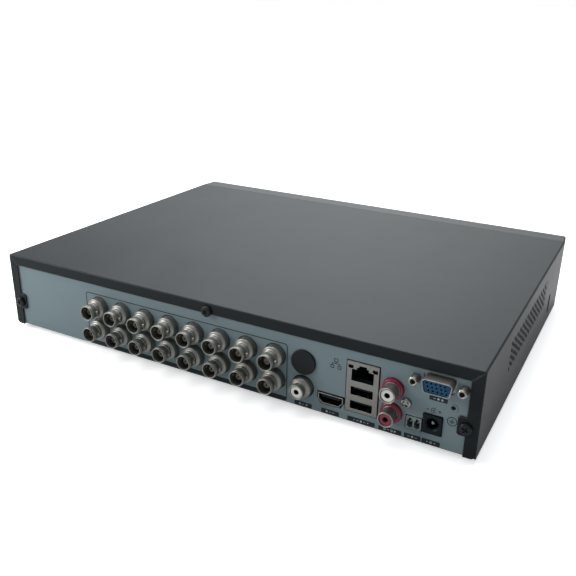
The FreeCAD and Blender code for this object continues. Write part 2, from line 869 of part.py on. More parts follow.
def make_board_sockets():
    shapes = []
    for x, y, width, depth, height in header_places():
        body = centred(x, y, board_top, width, depth, height)
        well = centred(x, y, board_top + 2.0, width - 2.4, depth - 2.4, height)
        keep = centred(x, y, board_top + 1.5, (width - 2.4) * 0.3, (depth - 2.4) * 0.7, height - 3.0)
        shapes.append(join([body.cut(well), keep]))
    return Part.makeCompound(shapes)


def make_coin_cell():
    return rod_z(-88.0, -98.0, board_top + 1.5, board_top + 4.7, 10.0)


def make_coin_cell_holder():
    ring = rod_z(-88.0, -98.0, board_top, board_top + 4.4, 11.4)
    well = rod_z(-88.0, -98.0, board_top + 1.5, board_top + 6, 10.05)
    notch = block(-92.0, -84.0, -112.0, -98.0, board_top + 1.5, board_top + 6)
    return carve(ring, [well, notch])


def make_buzzer():
    body = rod_z(-62.0, -104.0, board_top, board_top + 8.5, 6.0)
    return body.cut(rod_z(-62.0, -104.0, board_top + 6.5, board_top + 10, 1.2))


# ---- coaxial video sockets

def make_bnc_housings():
    block_columns = 4
    top = bnc_low_z + bnc_row_pitch + 7.6
    housings = []
    for part_index in range(bnc_columns // block_columns):
        first = bnc_first_x - part_index * block_columns * bnc_pitch
        x1 = first + bnc_pitch / 2 - 0.4
        x0 = first - (block_columns - 0.5) * bnc_pitch + 0.4
        body = block(x0, x1, panel_back - bnc_block_depth, panel_back - 0.1, board_top, top)
        body = soften(body, 0.8, lambda middle, way: middle.z > top - 0.1 and abs(way.y) > 0.9)
        bores = []
        for x, z in bnc_places():
            if x0 < x < x1:
                bores.append(rod_y(x, z, panel_face - bnc_tail - 1, panel_back + 1, bnc_base_radius + 0.05))
                bores.append(rod_y(x, z, panel_back - bnc_block_depth - 1, panel_back, 2.6))
        housings.append(carve(body, bores))
    return Part.makeCompound(housings)


def make_bnc_shells():
    shells = []
    shoulder = panel_face + bnc_base_length
    step = bnc_tip - bnc_lug_back + bnc_lug_radius + 0.15
    outline = [
        (panel_face - bnc_tail, bnc_base_radius),
        (shoulder - 0.35, bnc_base_radius),
        (shoulder, bnc_base_radius - 0.35),
        (shoulder + 0.15, bnc_barrel_radius + 0.35),
        (shoulder + 0.75, bnc_neck_radius),
        (step, bnc_neck_radius),
        (step + 0.1, bnc_barrel_radius),
        (bnc_tip - 1.2, bnc_barrel_radius),
        (bnc_tip - 1.0, bnc_barrel_radius - 0.22),
        (bnc_tip - 0.35, bnc_barrel_radius - 0.22),
        (bnc_tip, bnc_barrel_radius - 0.5),
    ]
    lug_y = bnc_tip - bnc_lug_back
    reach = bnc_barrel_radius + bnc_lug_rise
    for x, z in bnc_places():
        body = turned_y(x, z, outline)
        lugs = rod_x(x - reach, x + reach, lug_y, z, bnc_lug_radius)
        mouth = rod_y(x, z, bnc_tip - bnc_bore_depth, bnc_tip + 1, bnc_bore_radius)
        tail = rod_y(x, z, panel_face - bnc_tail - 1, bnc_tip, bnc_post_radius + 0.4)
        shells.append(carve(join([body, lugs]), [mouth, tail]))
    return Part.makeCompound(shells)


def make_bnc_insulators():
    posts = []
    floor = bnc_tip - bnc_bore_depth
    tip = bnc_tip - bnc_post_drop
    outline = [(panel_face - bnc_tail, bnc_post_radius + 0.4), (floor, bnc_post_radius + 0.4),
               (floor, bnc_post_radius), (tip, bnc_post_radius)]
    for x, z in bnc_places():
        post = turned_y(x, z, outline)
        posts.append(post.cut(rod_y(x, z, panel_face - bnc_tail - 1, tip + 1, contact_radius)))
    return Part.makeCompound(posts)


def make_bnc_contacts():
    contacts = []
    tip = bnc_tip - bnc_post_drop - 0.25
    for x, z in bnc_places():
        row = round((z - bnc_low_z) / bnc_row_pitch)
        back = panel_back - bnc_block_depth - 1.2 - 3.0 * row
        pin = rod_y(x, z, back, tip, contact_radius)
        tail = block(x - 0.4, x + 0.4, back - 0.1, back + 0.9, board_top, z)
        bore = rod_y(x, z, tip - 5, tip + 1, contact_bore)
        contacts.append(join([pin, tail]).cut(bore))
    return Part.makeCompound(contacts)


# ---- phono audio sockets

def phono_barrel(x, z, back, tip):
    hidden = phono_barrel_radius + phono_rim
    seen_from = panel_face + phono_ring_rise - 0.1
    outline = [(back, hidden), (seen_from, hidden), (seen_from + 0.1, phono_barrel_radius),
               (tip - 1.0, phono_barrel_radius), (tip - 0.8, hidden), (tip - 0.2, hidden),
               (tip, phono_barrel_radius)]
    return turned_y(x, z, outline)


def phono_tips():
    single = [(audio_out_x, audio_out_z, panel_face + audio_out_reach)]
    return single + [(x, z, panel_face + audio_in_reach) for x, z in audio_in_places()]


def make_phono_housings():
    back = panel_back - 12
    face = panel_back - 0.1
    single = block(audio_out_x - 7, audio_out_x + 7, back, face, board_top, audio_out_z + 7)
    high = audio_in_low_z + audio_in_pitch + 7
    pair = block(audio_in_x - 6.5, audio_in_x + 6.5, back, face, board_top, high)
    ear = block(fixing_x - 2.8, audio_in_x - 6, back + 3, face, fixing_z - 3.2, fixing_z + 3.2)
    pair = join([pair, ear])
    bore = phono_barrel_radius + phono_rim + 0.05
    bores = [rod_y(x, z, panel_back - 10, panel_back + 1, bore) for x, z, _ in phono_tips()]
    bores.append(rod_y(fixing_x, fixing_z, panel_back - 8, panel_back + 1, screw_radius + 0.05))
    return Part.makeCompound([carve(single, bores), carve(pair, bores)])


def make_phono_shells():
    shells = []
    for k, (x, z, tip) in enumerate(phono_tips()):
        shell = phono_barrel(x, z, panel_back - 9, tip)
        if k == 0:
            base = turned_y(x, z, [
                (panel_back - 0.05, bnc_base_radius - 0.2), (panel_face + 3.0, bnc_base_radius - 0.2),
                (panel_face + 3.6, bnc_base_radius - 0.8), (panel_face + 3.9, phono_barrel_radius + 0.9),
                (panel_face + 4.4, phono_barrel_radius - 0.1),
            ])
            shell = join([shell, base])
        shells.append(shell.cut(rod_y(x, z, panel_back - 8, tip + 1, phono_bore_radius)))
    return Part.makeCompound(shells)


def phono_insert(x, z, tip):
    sleeve = rod_y(x, z, panel_back - 8, tip - 0.6, phono_bore_radius)
    sleeve = sleeve.makeFillet(0.4, [e for e in sleeve.Edges if e.CenterOfMass.y > tip - 0.7])
    return sleeve.cut(rod_y(x, z, tip - 9.0, tip, phono_mouth_radius))


def make_phono_inserts_white():
    tips = phono_tips()
    return Part.makeCompound([phono_insert(*tips[0]), phono_insert(*tips[2])])


def make_phono_insert_red():
    return phono_insert(*phono_tips()[1])


def make_phono_rings():
    rings = []
    for x, z, _ in phono_tips()[1:]:
        front = panel_face + phono_ring_rise
        ring = rod_y(x, z, panel_back - 0.05, front, phono_ring_radius)
        ring = ring.makeFillet(0.6, [e for e in ring.Edges if e.CenterOfMass.y > front - 0.1])
        rings.append(ring.cut(rod_y(x, z, panel_back - 1, front + 1, phono_barrel_radius + phono_rim + 0.05)))
    return Part.makeCompound(rings)


# ---- digital video socket

def hdmi_outline(grow):
    # a flat-topped outline that narrows to a shorter flat bottom
    high = hdmi_z + hdmi_height / 2 + grow
    low = hdmi_z - hdmi_height / 2 - grow
    wide = hdmi_width / 2 + grow
    narrow = hdmi_width / 2 - 2.2 + grow
    return [(-wide, high), (wide, high), (wide, hdmi_z - 0.4), (wide - 0.9, hdmi_z - 1.2),
            (narrow, low), (-narrow, low), (-wide + 0.9, hdmi_z - 1.2), (-wide, hdmi_z - 0.4)]


def hdmi_prism(y0, y1, grow):
    points = [(hdmi_x + x, y0, z) for x, z in hdmi_outline(grow)]
    return prism(points, vec(0, y1 - y0, 0))


def make_hdmi_shell():
    body = hdmi_prism(panel_back - 11, panel_face + 0.5, 0)
    hollow = hdmi_prism(panel_back - 10, panel_face + 2, -0.5)
    pieces = [body.cut(hollow)]
    for side in (-1, 1):
        x = hdmi_x + side * (hdmi_width / 2 - 0.25)
        pieces.append(block(x - 0.25, x + 0.25, panel_back - 6, panel_back - 4, board_top, hdmi_z))
    return join(pieces)


def make_hdmi_tongue():
    seat = hdmi_prism(panel_back - 9.9, panel_back - 8.4, -0.5)
    tongue = block(hdmi_x - 5.6, hdmi_x + 5.6, panel_back - 9, panel_face - 0.4, hdmi_z + 0.2, hdmi_z + 1.8)
    tongue = soften(tongue, 0.3, lambda middle, way: middle.y > panel_face - 0.5)
    return join([seat, tongue])


# ---- network and data socket stack

def usb_centres():
    return [usb_low_z, usb_low_z + usb_pitch]


def lan_opening(y0, y1, grow):
    low = lan_z - lan_height / 2 - grow
    high = lan_z + lan_height / 2 + grow
    body = block(stack_x - lan_width / 2 - grow, stack_x + lan_width / 2 + grow, y0, y1, low, high)
    step = block(stack_x - 3.4 - grow, stack_x + 3.4 + grow, y0, y1, low, high + 1.4)
    notch = block(stack_x - 2.2 - grow, stack_x + 2.2 + grow, y0, y1, low, high + 2.6)
    return join([body, step, notch])


def make_network_usb_shell():
    front = panel_face + stack_reach
    back = front - stack_depth
    top = stack_bottom + stack_height
    x0 = stack_x - stack_width / 2
    x1 = stack_x + stack_width / 2
    can = block(x0, x1, back, front, stack_bottom, top)
    can = soften(can, 0.4, lambda middle, way: abs(way.y) > 0.9 or middle.y > front - 0.01)
    inner = top - stack_wall
    hollow = block(x0 + stack_wall, x1 - stack_wall, back - 1, front - stack_wall, stack_bottom - 1, inner)
    tools = [hollow, lan_opening(front - 2, front + 1, 0)]
    for z in usb_centres():
        tools.append(rounded_y(stack_x, z, usb_width, usb_height, front - 2, front + 1, 0.4))
    for s in (-1, 1):
        x = stack_x + s * lamp_offset
        tools.append(block(x - 1.5, x + 1.5, front - 2, front + 1, top - 4.3, top - 2.2))
    can = carve(can, tools)
    fingers = []
    for z in usb_centres():
        for s in (-1, 1):
            x = stack_x + s * 3.2 - 0.9
            low = z - usb_height / 2
            outline = [
                (x, front - 0.2, low - 0.6),
                (x, front - 4.6, low + 0.5),
                (x, front - 4.8, low + 0.1),
                (x, front - 0.4, low - 0.9),
            ]
            fingers.append(prism(outline, vec(1.8, 0, 0)))
    return join([can] + fingers)


def make_network_insert():
    front = panel_face + stack_reach - stack_wall
    back = front - stack_depth + 1
    gap = 0.05
    x0 = stack_x - stack_width / 2 + stack_wall + gap
    x1 = stack_x + stack_width / 2 - stack_wall - gap
    top = stack_bottom + stack_height - stack_wall - gap
    body = block(x0, x1, back, front - gap, stack_bottom, top)
    tools = [lan_opening(front - lan_depth, front + 1, 0)]
    for z in usb_centres():
        half = usb_width / 2 + 0.2
        low = z - usb_height / 2 - 1.1
        high = z + usb_height / 2 + 0.3
        tools.append(block(stack_x - half, stack_x + half, front - usb_depth, front + 1, low, high))
    for s in (-1, 1):
        x = stack_x + s * lamp_offset
        tools.append(block(x - 1.3, x + 1.3, front - 1, front + 1, top - 4.0, top - 1.9))
    return carve(body, tools)


def make_network_contacts():
    # eight sprung wires sloping up from the floor of the network socket
    front = panel_face + stack_reach - stack_wall
    wires = []
    for k in range(8):
        x = stack_x + (k - 3.5) * 1.02
        low = lan_z - lan_height / 2
        wires.append(prism(
            [(x - 0.2, front - 3.0, low), (x - 0.2, front - lan_depth, low + 2.2),
             (x - 0.2, front - lan_depth, low + 1.8), (x - 0.2, front - 3.6, low)],
            vec(0.4, 0, 0),
        ))
    return Part.makeCompound(wires)


def make_usb_tongues():
    front = panel_face + stack_reach - stack_wall
    tongues = []
    for z in usb_centres():
        low = z + 0.3
        tongue = block(stack_x - 5.4, stack_x + 5.4, front - usb_depth, front - 1.2, low, low + tongue_thick)
        tongues.append(soften(tongue, 0.3, lambda middle, way: middle.y > front - 1.3))
    back = -half_width + 0.6 + usb_depth
    side = block(-half_width + 1.8, back, side_usb_y + 0.3, side_usb_y + 0.3 + tongue_thick,
                 side_usb_z - 5.4, side_usb_z + 5.4)
    tongues.append(soften(side, 0.3, lambda middle, way: middle.x < -half_width + 1.9))
    return Part.makeCompound(tongues)


def make_side_usb_shell():
    x0 = -half_width + 0.6
    wall = 0.35
    outer = block(x0, x0 + 14, side_usb_y - usb_height / 2 - wall, side_usb_y + usb_height / 2 + wall,
                  side_usb_z - usb_width / 2 - wall, side_usb_z + usb_width / 2 + wall)
    outer = soften(outer, 0.5, lambda middle, way: abs(way.x) > 0.9)
    hollow = block(x0 - 1, x0 + usb_depth, side_usb_y - usb_height / 2, side_usb_y + usb_height / 2,
                   side_usb_z - usb_width / 2, side_usb_z + usb_width / 2)
    return outer.cut(hollow)


def make_riser_boards():
    # an upright board behind the analogue video socket and one beside the side data socket
    y0 = panel_back - 6 - board_sheet
    right = vga_x + vga_screw_pitch / 2 + 0.2
    left = vga_x - vga_screw_pitch / 2 - 2
    leg = dc_x - dc_width / 2 - 1.2
    low = dc_z + dc_height / 2 + 3
    riser = prism(
        [(left, y0, board_top), (leg, y0, board_top), (leg, y0, low), (right, y0, low),
         (right, y0, vga_z + 6), (left, y0, vga_z + 6)],
        vec(0, board_sheet, 0),
    )
    y1 = side_board_y
    plate = block(-half_width + side_board_inset, side_board_right, y1 - board_sheet, y1, 2.6, 26.0)
    holes = [rod_y(x, z, y1 - 4, y1 + 1, screw_radius + 0.2) for x, z in side_board_places()]
    plug = block(-141.5, -137.5, y1, y1 + 5, 8.0, 18.5)
    return Part.makeCompound([riser, join([carve(plate, holes), plug])])


# ---- analogue video socket

def vga_outline(grow):
    # the wide top and narrower bottom of a D-shaped socket
    top = vga_width / 2 + grow
    low = vga_width / 2 - 1.5 + grow
    half = vga_height / 2 + grow
    return [(-top, half), (top, half), (low, -half), (-low, -half)]


def vga_prism(y0, y1, grow):
    points = [(vga_x + x, y0, vga_z + z) for x, z in vga_outline(grow)]
    shape = prism(points, vec(0, y1 - y0, 0))
    return soften(shape, 2.0 + min(grow, 0), lambda middle, way: abs(way.y) > 0.9)


def make_vga_shell():
    collar = vga_prism(panel_back - 6, panel_face + vga_reach, 0)
    hollow = vga_prism(panel_back - 5, panel_face + vga_reach + 1, -0.45)
    wide = vga_screw_pitch + 6
    plate = rounded_y(vga_x, vga_z, wide, vga_height + 4.4, panel_back - 1.1, panel_back - 0.1, 1.2)
    hole = screw_radius + 0.35
    plate = carve(plate, [rod_y(x, z, panel_back - 3, panel_back + 1, hole) for x, z in vga_screw_places()])
    return carve(join([collar, plate]), [hollow])


def make_vga_insert():
    body = vga_prism(panel_back - 5, panel_face + vga_reach - 0.5, -0.5)
    holes = []
    for row, count in enumerate((5, 5, 5)):
        for k in range(count):
            x = vga_x + (k - 2) * 2.29 - (row - 1) * 0.55
            holes.append(rod_y(x, vga_z + (1 - row) * 1.98, panel_face, panel_face + vga_reach + 1, 0.5))
    return carve(body, holes)


def make_vga_jack_screws():
    screws = []
    tip = panel_face + jack_screw_reach
    for x, z in vga_screw_places():
        barrel = hex_y(x, z, jack_screw_flat, panel_face, tip)
        ring = turned_y(x, z, [(panel_face - 1, 3.2), (tip - 0.8, 3.2), (tip, 2.0)])
        barrel = barrel.common(ring)
        shank = rod_y(x, z, panel_back - 5, panel_face + 0.5, screw_radius)
        bore = rod_y(x, z, tip - 5.5, tip + 1, jack_screw_bore)
        screws.append(join([barrel, shank]).cut(bore))
    return Part.makeCompound(screws)


# ---- terminal, supply socket and fixing screw

def terminal_cavities(y0, y1):
    cavities = []
    for s in (-1, 1):
        x = terminal_x + s * terminal_pitch / 2
        cavities.append(block(x - 1.5, x + 1.5, y0, y1, terminal_z - 2.4, terminal_z + 1.4))
        cavities.append(block(x - 0.8, x + 0.8, y0, y1, terminal_z - 2.9, terminal_z + 2.7))
    return cavities


def make_terminal_body():
    front = panel_face + 0.4
    body = rounded_y(terminal_x, terminal_z, terminal_width, terminal_height, front - 10, front, 0.3)
    return carve(body, terminal_cavities(front - 8, front + 1))


def make_socket_pins():
    # two terminal pins and the centre pin of the supply socket
    front = panel_face + 0.4
    pins = []
    for s in (-1, 1):
        x = terminal_x + s * terminal_pitch / 2
        pin = block(x - 0.45, x + 0.45, front - 8, front - 1.5, terminal_z - 0.45, terminal_z + 0.45)
        pins.append(soften(pin, 0.2, lambda middle, way: middle.y > front - 1.6))
    front = panel_face + 0.8
    pin = rod_y(dc_x, dc_z + 0.3, front - dc_bore_depth, front - 1.6, dc_pin)
    pins.append(pin.makeFillet(0.6, [e for e in pin.Edges if e.CenterOfMass.y > front - 1.7]))
    return Part.makeCompound(pins)


def make_dc_socket_body():
    front = panel_face + 0.8
    body = rounded_y(dc_x, dc_z, dc_width, dc_height, front - 14, front, 0.8)
    body = soften(body, 0.4, lambda middle, way: middle.y > front - 0.01)
    bore = rod_y(dc_x, dc_z + 0.3, front - dc_bore_depth, front + 1, dc_bore)
    dish = Part.makeCone(dc_bore, dc_bore + 0.8, 0.8, vec(dc_x, front - 0.8, dc_z + 0.3), vec(0, 1, 0))
    feet = [centred(dc_x, front - y, board_top, dc_width - 2, 1.5, dc_lift + 1) for y in (4, 11)]
    return carve(join([body] + feet), [bore, dish])


def make_connector_screw():
    return cross_screw_y(fixing_x, fixing_z, panel_face, 2.8, 1.9, 8.0)


# ---- printed marks

def outline_frame(x0, x1, z0, z1, corner, line):
    x = (x0 + x1) / 2
    z = (z0 + z1) / 2
    wide = x1 - x0
    high = z1 - z0
    outer = rounded_y(x, z, wide, high, panel_face, panel_face + print_thick, corner)
    inner = rounded_y(x, z, wide - 2 * line, high - 2 * line, panel_face - 1, panel_face + 1, corner - line)
    return outer.cut(inner)


def network_mark(x, z):
    # three small boxes joined by lines
    y0 = panel_face
    y1 = panel_face + print_thick
    marks = [outline_frame(x - 1.2, x + 1.2, z + 0.9, z + 3.1, 0.45, 0.35)]
    for s in (-1, 1):
        marks.append(outline_frame(x + s * 2.1 - 1.1, x + s * 2.1 + 1.1, z - 3.0, z - 1.0, 0.45, 0.35))
    marks.append(block(x - 2.25, x + 2.25, y0, y1, z - 0.15, z + 0.15))
    marks.append(block(x - 0.15, x + 0.15, y0, y1, z - 0.2, z + 1.0))
    marks += [block(x + s * 2.1 - 0.15, x + s * 2.1 + 0.15, y0, y1, z - 1.1, z + 0.1) for s in (-1, 1)]
    return join(marks)


def ground_mark(x, z):
    # a circle around an upright stroke and three shortening bars
    y0 = panel_face
    y1 = panel_face + print_thick
    ring = rod_y(x, z, y0, y1, 2.6).cut(rod_y(x, z, y0 - 1, y1 + 1, 2.25))
    marks = [ring, block(x - 0.15, x + 0.15, y0, y1, z, z + 1.5)]
    for k, half in enumerate((1.4, 0.9, 0.4)):
        marks.append(block(x - half, x + half, y0, y1, z - 0.15 - k * 0.6, z + 0.15 - k * 0.6))
    return marks[:1] + [join(marks[1:3])] + marks[3:]


def polarity_mark(x, z):
    # a dot inside an open ring, with a dash to one side and a cross to the other
    y0 = panel_face
    y1 = panel_face + print_thick
    ring = rod_y(x, z, y0, y1, 1.5).cut(rod_y(x, z, y0 - 1, y1 + 1, 1.2))
    ring = ring.cut(block(x - 3, x, y0 - 1, y1 + 1, z - 0.6, z + 0.6))
    marks = [ring, rod_y(x, z, y0, y1, 0.5), block(x + 2.4, x + 3.8, y0, y1, z - 0.15, z + 0.15)]
    across = block(x - 3.9, x - 2.3, y0, y1, z - 0.15, z + 0.15)
    upright = block(x - 3.25, x - 2.95, y0, y1, z - 0.8, z + 0.8)
    marks.append(join([across, upright]))
    return marks


def make_panel_print():
    y0 = panel_face
    y1 = panel_face + print_thick
    marks = [outline_frame(frame_left, frame_right, bar_bottom, frame_top, 2.0, print_line)]
    marks[0] = marks[0].fuse(block(frame_left + 0.6, frame_right - 0.6, y0, y1, bar_bottom + 0.1, bar_top))
    middle = (bar_bottom + bar_top) / 2
    for x, width in label_marks:
        marks.append(rounded_y(x, middle - 0.1, width, bar_top - bar_bottom, y0, y1, 0.4))
    marks.append(rounded_y(vga_x, vga_mark_z, vga_mark_width, 2.5, y0, y1, 0.3))
    marks.append(network_mark(-82.2, 33.0))
    marks += ground_mark(ground_x, 17.9)
    marks += polarity_mark(dc_x, 21.3)
    cut = [rod_y(x, z, y0 - 1, y1 + 1, bnc_base_radius + bnc_hole_play) for x, z in bnc_places()]
    marks[0] = carve(marks[0], cut)
    return Part.makeCompound(marks)


# ---- hard drive and its leads

def drive_frame():
    # left, right, back, front and floor of the drive
    right = drive_left + drive_length
    front = drive_back - drive_width
    return drive_left, right, drive_back, front, chassis_sheet + drive_rise


def spindle_place():
    return drive_left + drive_width / 2, drive_back - drive_width / 2


def pivot_place():
    x, y = spindle_place()
    return x + pivot_along, y + pivot_across


def disc_levels():
    floor = chassis_sheet + drive_rise + drive_floor
    return [floor + disc_first + k * disc_pitch for k in range(disc_count)]


def make_drive_base():
    left, right, back, front, low = drive_frame()
    high = low + drive_height - drive_lid_sheet
    floor = low + drive_floor
    body = block(left, right, front, back, low, high)
    body = soften(body, 2.5, lambda middle, way: abs(way.z) > 0.9)
    sx, sy = spindle_place()
    px, py = pivot_place()
    wall = drive_wall
    cavity = join([
        rod_z(sx, sy, floor, high + 1, disc_radius + 0.8),
        block(sx + 24, right - wall, front + wall, back - wall, floor, high + 1),
    ])
    pocket = block(left + 10, right + 1, front + 12, back - 12, low - 1, low + 1.7)
    body = carve(body, [cavity, pocket])
    top_disc = disc_levels()[-1]
    posts = [rod_z(sx, sy, floor - 0.5, top_disc + 1.0, spindle_radius - spindle_play),
             rod_z(px, py, floor - 0.5, top_disc + 3.6, pivot_post - spindle_play)]
    body = join([body] + posts)
    holes = [rod_z(x, y, low - 1, low + 5, screw_radius + 0.05) for x, y in drive_screw_places()]
    holes += [rod_z(x, y, high - 3.5, high + 1, 1.05) for x, y in lid_screw_places()]
    return carve(body, holes)


def lid_screw_places():
    left, right, back, front, _ = drive_frame()
    inset = 1.9
    xs = [left + 5.0, right - 24.0]
    corners = [(x, y) for x in xs for y in (back - 5.0, front + 5.0)]
    corners[2] = (right - 24.0, back - inset)
    corners[3] = (right - 24.0, front + inset)
    return corners


def make_drive_lid():
    left, right, back, front, low = drive_frame()
    high = low + drive_height
    plate = block(left + 0.5, right - 0.5, front + 0.5, back - 0.5, high - drive_lid_sheet, high)
    plate = soften(plate, 2.0, lambda middle, way: abs(way.z) > 0.9)
    sx, sy = spindle_place()
    ring = rod_z(sx, sy, high - 0.5, high + 1, 32).cut(rod_z(sx, sy, high - 1, high + 2, 29))
    holes = [rod_z(x, y, high - 3, high + 1, 1.2) for x, y in lid_screw_places()]
    return carve(plate, [ring] + holes)


def make_drive_platters():
    sx, sy = spindle_place()
    levels = disc_levels()
    pieces = [rod_z(sx, sy, z, z + disc_sheet, disc_radius) for z in levels]
    pieces.append(rod_z(sx, sy, levels[0] - 2.6, levels[-1] + disc_sheet + 1.6, hub_radius))
    stack = join(pieces)
    return stack.cut(rod_z(sx, sy, levels[0] - 4, levels[-1] + 1.1, spindle_radius))


def make_drive_actuator():
    px, py = pivot_place()
    levels = disc_levels()
    low = levels[0] - 3.0
    high = levels[-1] + disc_sheet + 2.6
    pieces = [rod_z(px, py, low, high, pivot_radius)]
    clear = (disc_pitch - disc_sheet - arm_sheet) / 2
    arm_levels = [z - clear - arm_sheet for z in levels] + [levels[-1] + disc_sheet + clear]
    far = px + arm_length
    for z in arm_levels:
        outline = [(px, py - 6.0, z), (far, py - 1.6, z), (far, py + 1.6, z), (px, py + 6.0, z)]
        pieces.append(prism(outline, vec(0, 0, arm_sheet)))
    z = low + 3
    outline = [(px - 6, py - 5, z), (px - 22, py - 9, z), (px - 22, py + 9, z), (px - 6, py + 5, z)]
    coil = prism(outline, vec(0, 0, 3.2))
    z = low + 2
    outline = [(px - 11, py - 3, z), (px - 18, py - 5, z), (px - 18, py + 5, z), (px - 11, py + 3, z)]
    well = prism(outline, vec(0, 0, 6))
    arm = join(pieces + [coil.cut(well)])
    arm.rotate(vec(px, py, 0), vec(0, 0, 1), park_angle)
    return arm.cut(rod_z(px, py, low - 1, high + 1, pivot_post))


def make_drive_board():
    left, right, back, front, low = drive_frame()
    plate = block(left + 11, right - 1.5, front + 13, back - 13, low + 0.5, low + 1.7)
    return plate


def make_drive_screws():
    low = chassis_sheet + drive_rise
    high = low + drive_height
    screws = []
    for x, y in drive_screw_places():
        head = rod_z(x, y, -1.6, 0, 2.7)
        head = head.cut(block(x - 1.5, x + 1.5, y - 0.35, y + 0.35, -2, -0.9))
        screws.append(join([head, rod_z(x, y, -0.2, low + 4, screw_radius)]))
    for x, y in lid_screw_places():
        cap = rod_z(x, y, high, high + 0.9, 1.8)
        screws.append(join([cap, rod_z(x, y, high - 3.6, high + 0.2, 1.0)]))
    return Part.makeCompound(screws)


def flat_lead(points, bend, thick, z0, z1):
    # a flat ribbon standing on edge that follows straight runs joined by tangent arcs
    half = thick / 2
    edges = []
    here = vec(*points[0], 0)
    for k in range(1, len(points) - 1):
        corner = vec(*points[k], 0)
        come = (corner - vec(*points[k - 1], 0)).normalize()
        go = (vec(*points[k + 1], 0) - corner).normalize()
        start = corner - come * bend
        end = corner + go * bend
        swing = (go - come).normalize() * bend * (math.sqrt(2) - 1)
        edges.append(Part.LineSegment(here, start).toShape())
        edges.append(Part.Arc(start, corner + swing, end).toShape())
        here = end
    edges.append(Part.LineSegment(here, vec(*points[-1], 0)).toShape())
    path = Part.Wire(edges)
    left = path.makeOffset2D(half, 0, False, True)
    right = path.makeOffset2D(-half, 0, False, True)
    ends = []
    for k in (0, -1):
        near = left.OrderedVertexes[k].Point
        far = right.OrderedVertexes[k].Point
        ends.append(Part.LineSegment(near, far).toShape())
    face = Part.Face(Part.Wire(Part.__sortEdges__(left.Edges + right.Edges + ends)))
    face.translate(vec(0, 0, z0))
    return face.extrude(vec(0, 0, z1 - z0))


def lead_head(k, top):
    # the plug that sits on header k, with its top at the given height
    x, y, width, depth, height = header_places()[k]
    return centred(x, y, board_top + height, width, depth, top - board_top - height)


def make_drive_data_lead():
    right = drive_left + drive_length
    top = 23.5
    x, y = header_places()[0][:2]
    along = drive_back - 74
    run = right + 27
    plug = block(right, right + 12, along - 9, along + 9, 5.5, 12.5)
    ribbon = flat_lead([(right + 11, along), (run, along), (run, y), (x + 3, y)], 8.0, 1.4, top - 7.5, top)
    riser = block(right + 9.5, right + 12, along - 3, along + 3, 12.0, top)
    return join([plug, riser, ribbon, lead_head(0, top)])


def make_drive_power_lead():
    right = drive_left + drive_length
    top = 22.4
    x, y = header_places()[1][:2]
    along = drive_back - 49
    run = right + 20
    cross = drive_back + 2.5
    plug = block(right, right + 10, along - 12, along + 12, 5.5, 12.5)
    ribbon = flat_lead([(right + 9, along), (run, along), (run, cross), (x, cross), (x, y - 6.5)],
                       5.5, 1.6, top - 6.4, top)
    riser = block(right + 7.5, right + 10, along - 4, along + 4, 12.0, top)
    return join([plug, riser, ribbon, lead_head(1, top)])


def make_signal_leads():
    # flat leads to the fan, the front board and the side socket board
    fan_x, fan_y = header_places()[2][:2]
    top = fan_base() + 4
    exit_x = cooler_x + fan_size / 2
    route = [(exit_x, cooler_y - 12), (fan_x, cooler_y - 12), (fan_x, fan_y + 2)]
    fan_lead = join([flat_lead(route, 3.5, 1.0, top - 3, top), lead_head(2, top)])
    panel_x, panel_y = header_places()[3][:2]
    top = 31.0
    start_x = window_x + 11
    start_y = front_board_y + board_sheet + 4.2
    route = [(start_x, start_y + 1), (start_x, panel_y), (panel_x + 6, panel_y)]
    panel_lead = join([
        block(start_x - 3, start_x + 3, start_y, start_y + 2, window_z - 2.5, top),
        flat_lead(route, 12.0, 1.2, top - 5, top),
        lead_head(3, top),
    ])
    side_x, side_y = header_places()[4][:2]
    top = 18.0
    side_lead = join([
        block(side_x - 0.6, side_x + 0.6, side_board_y + 5, side_y - 2, top - 4, top),
        lead_head(4, top),
    ])
    return Part.makeCompound([fan_lead, panel_lead, side_lead])


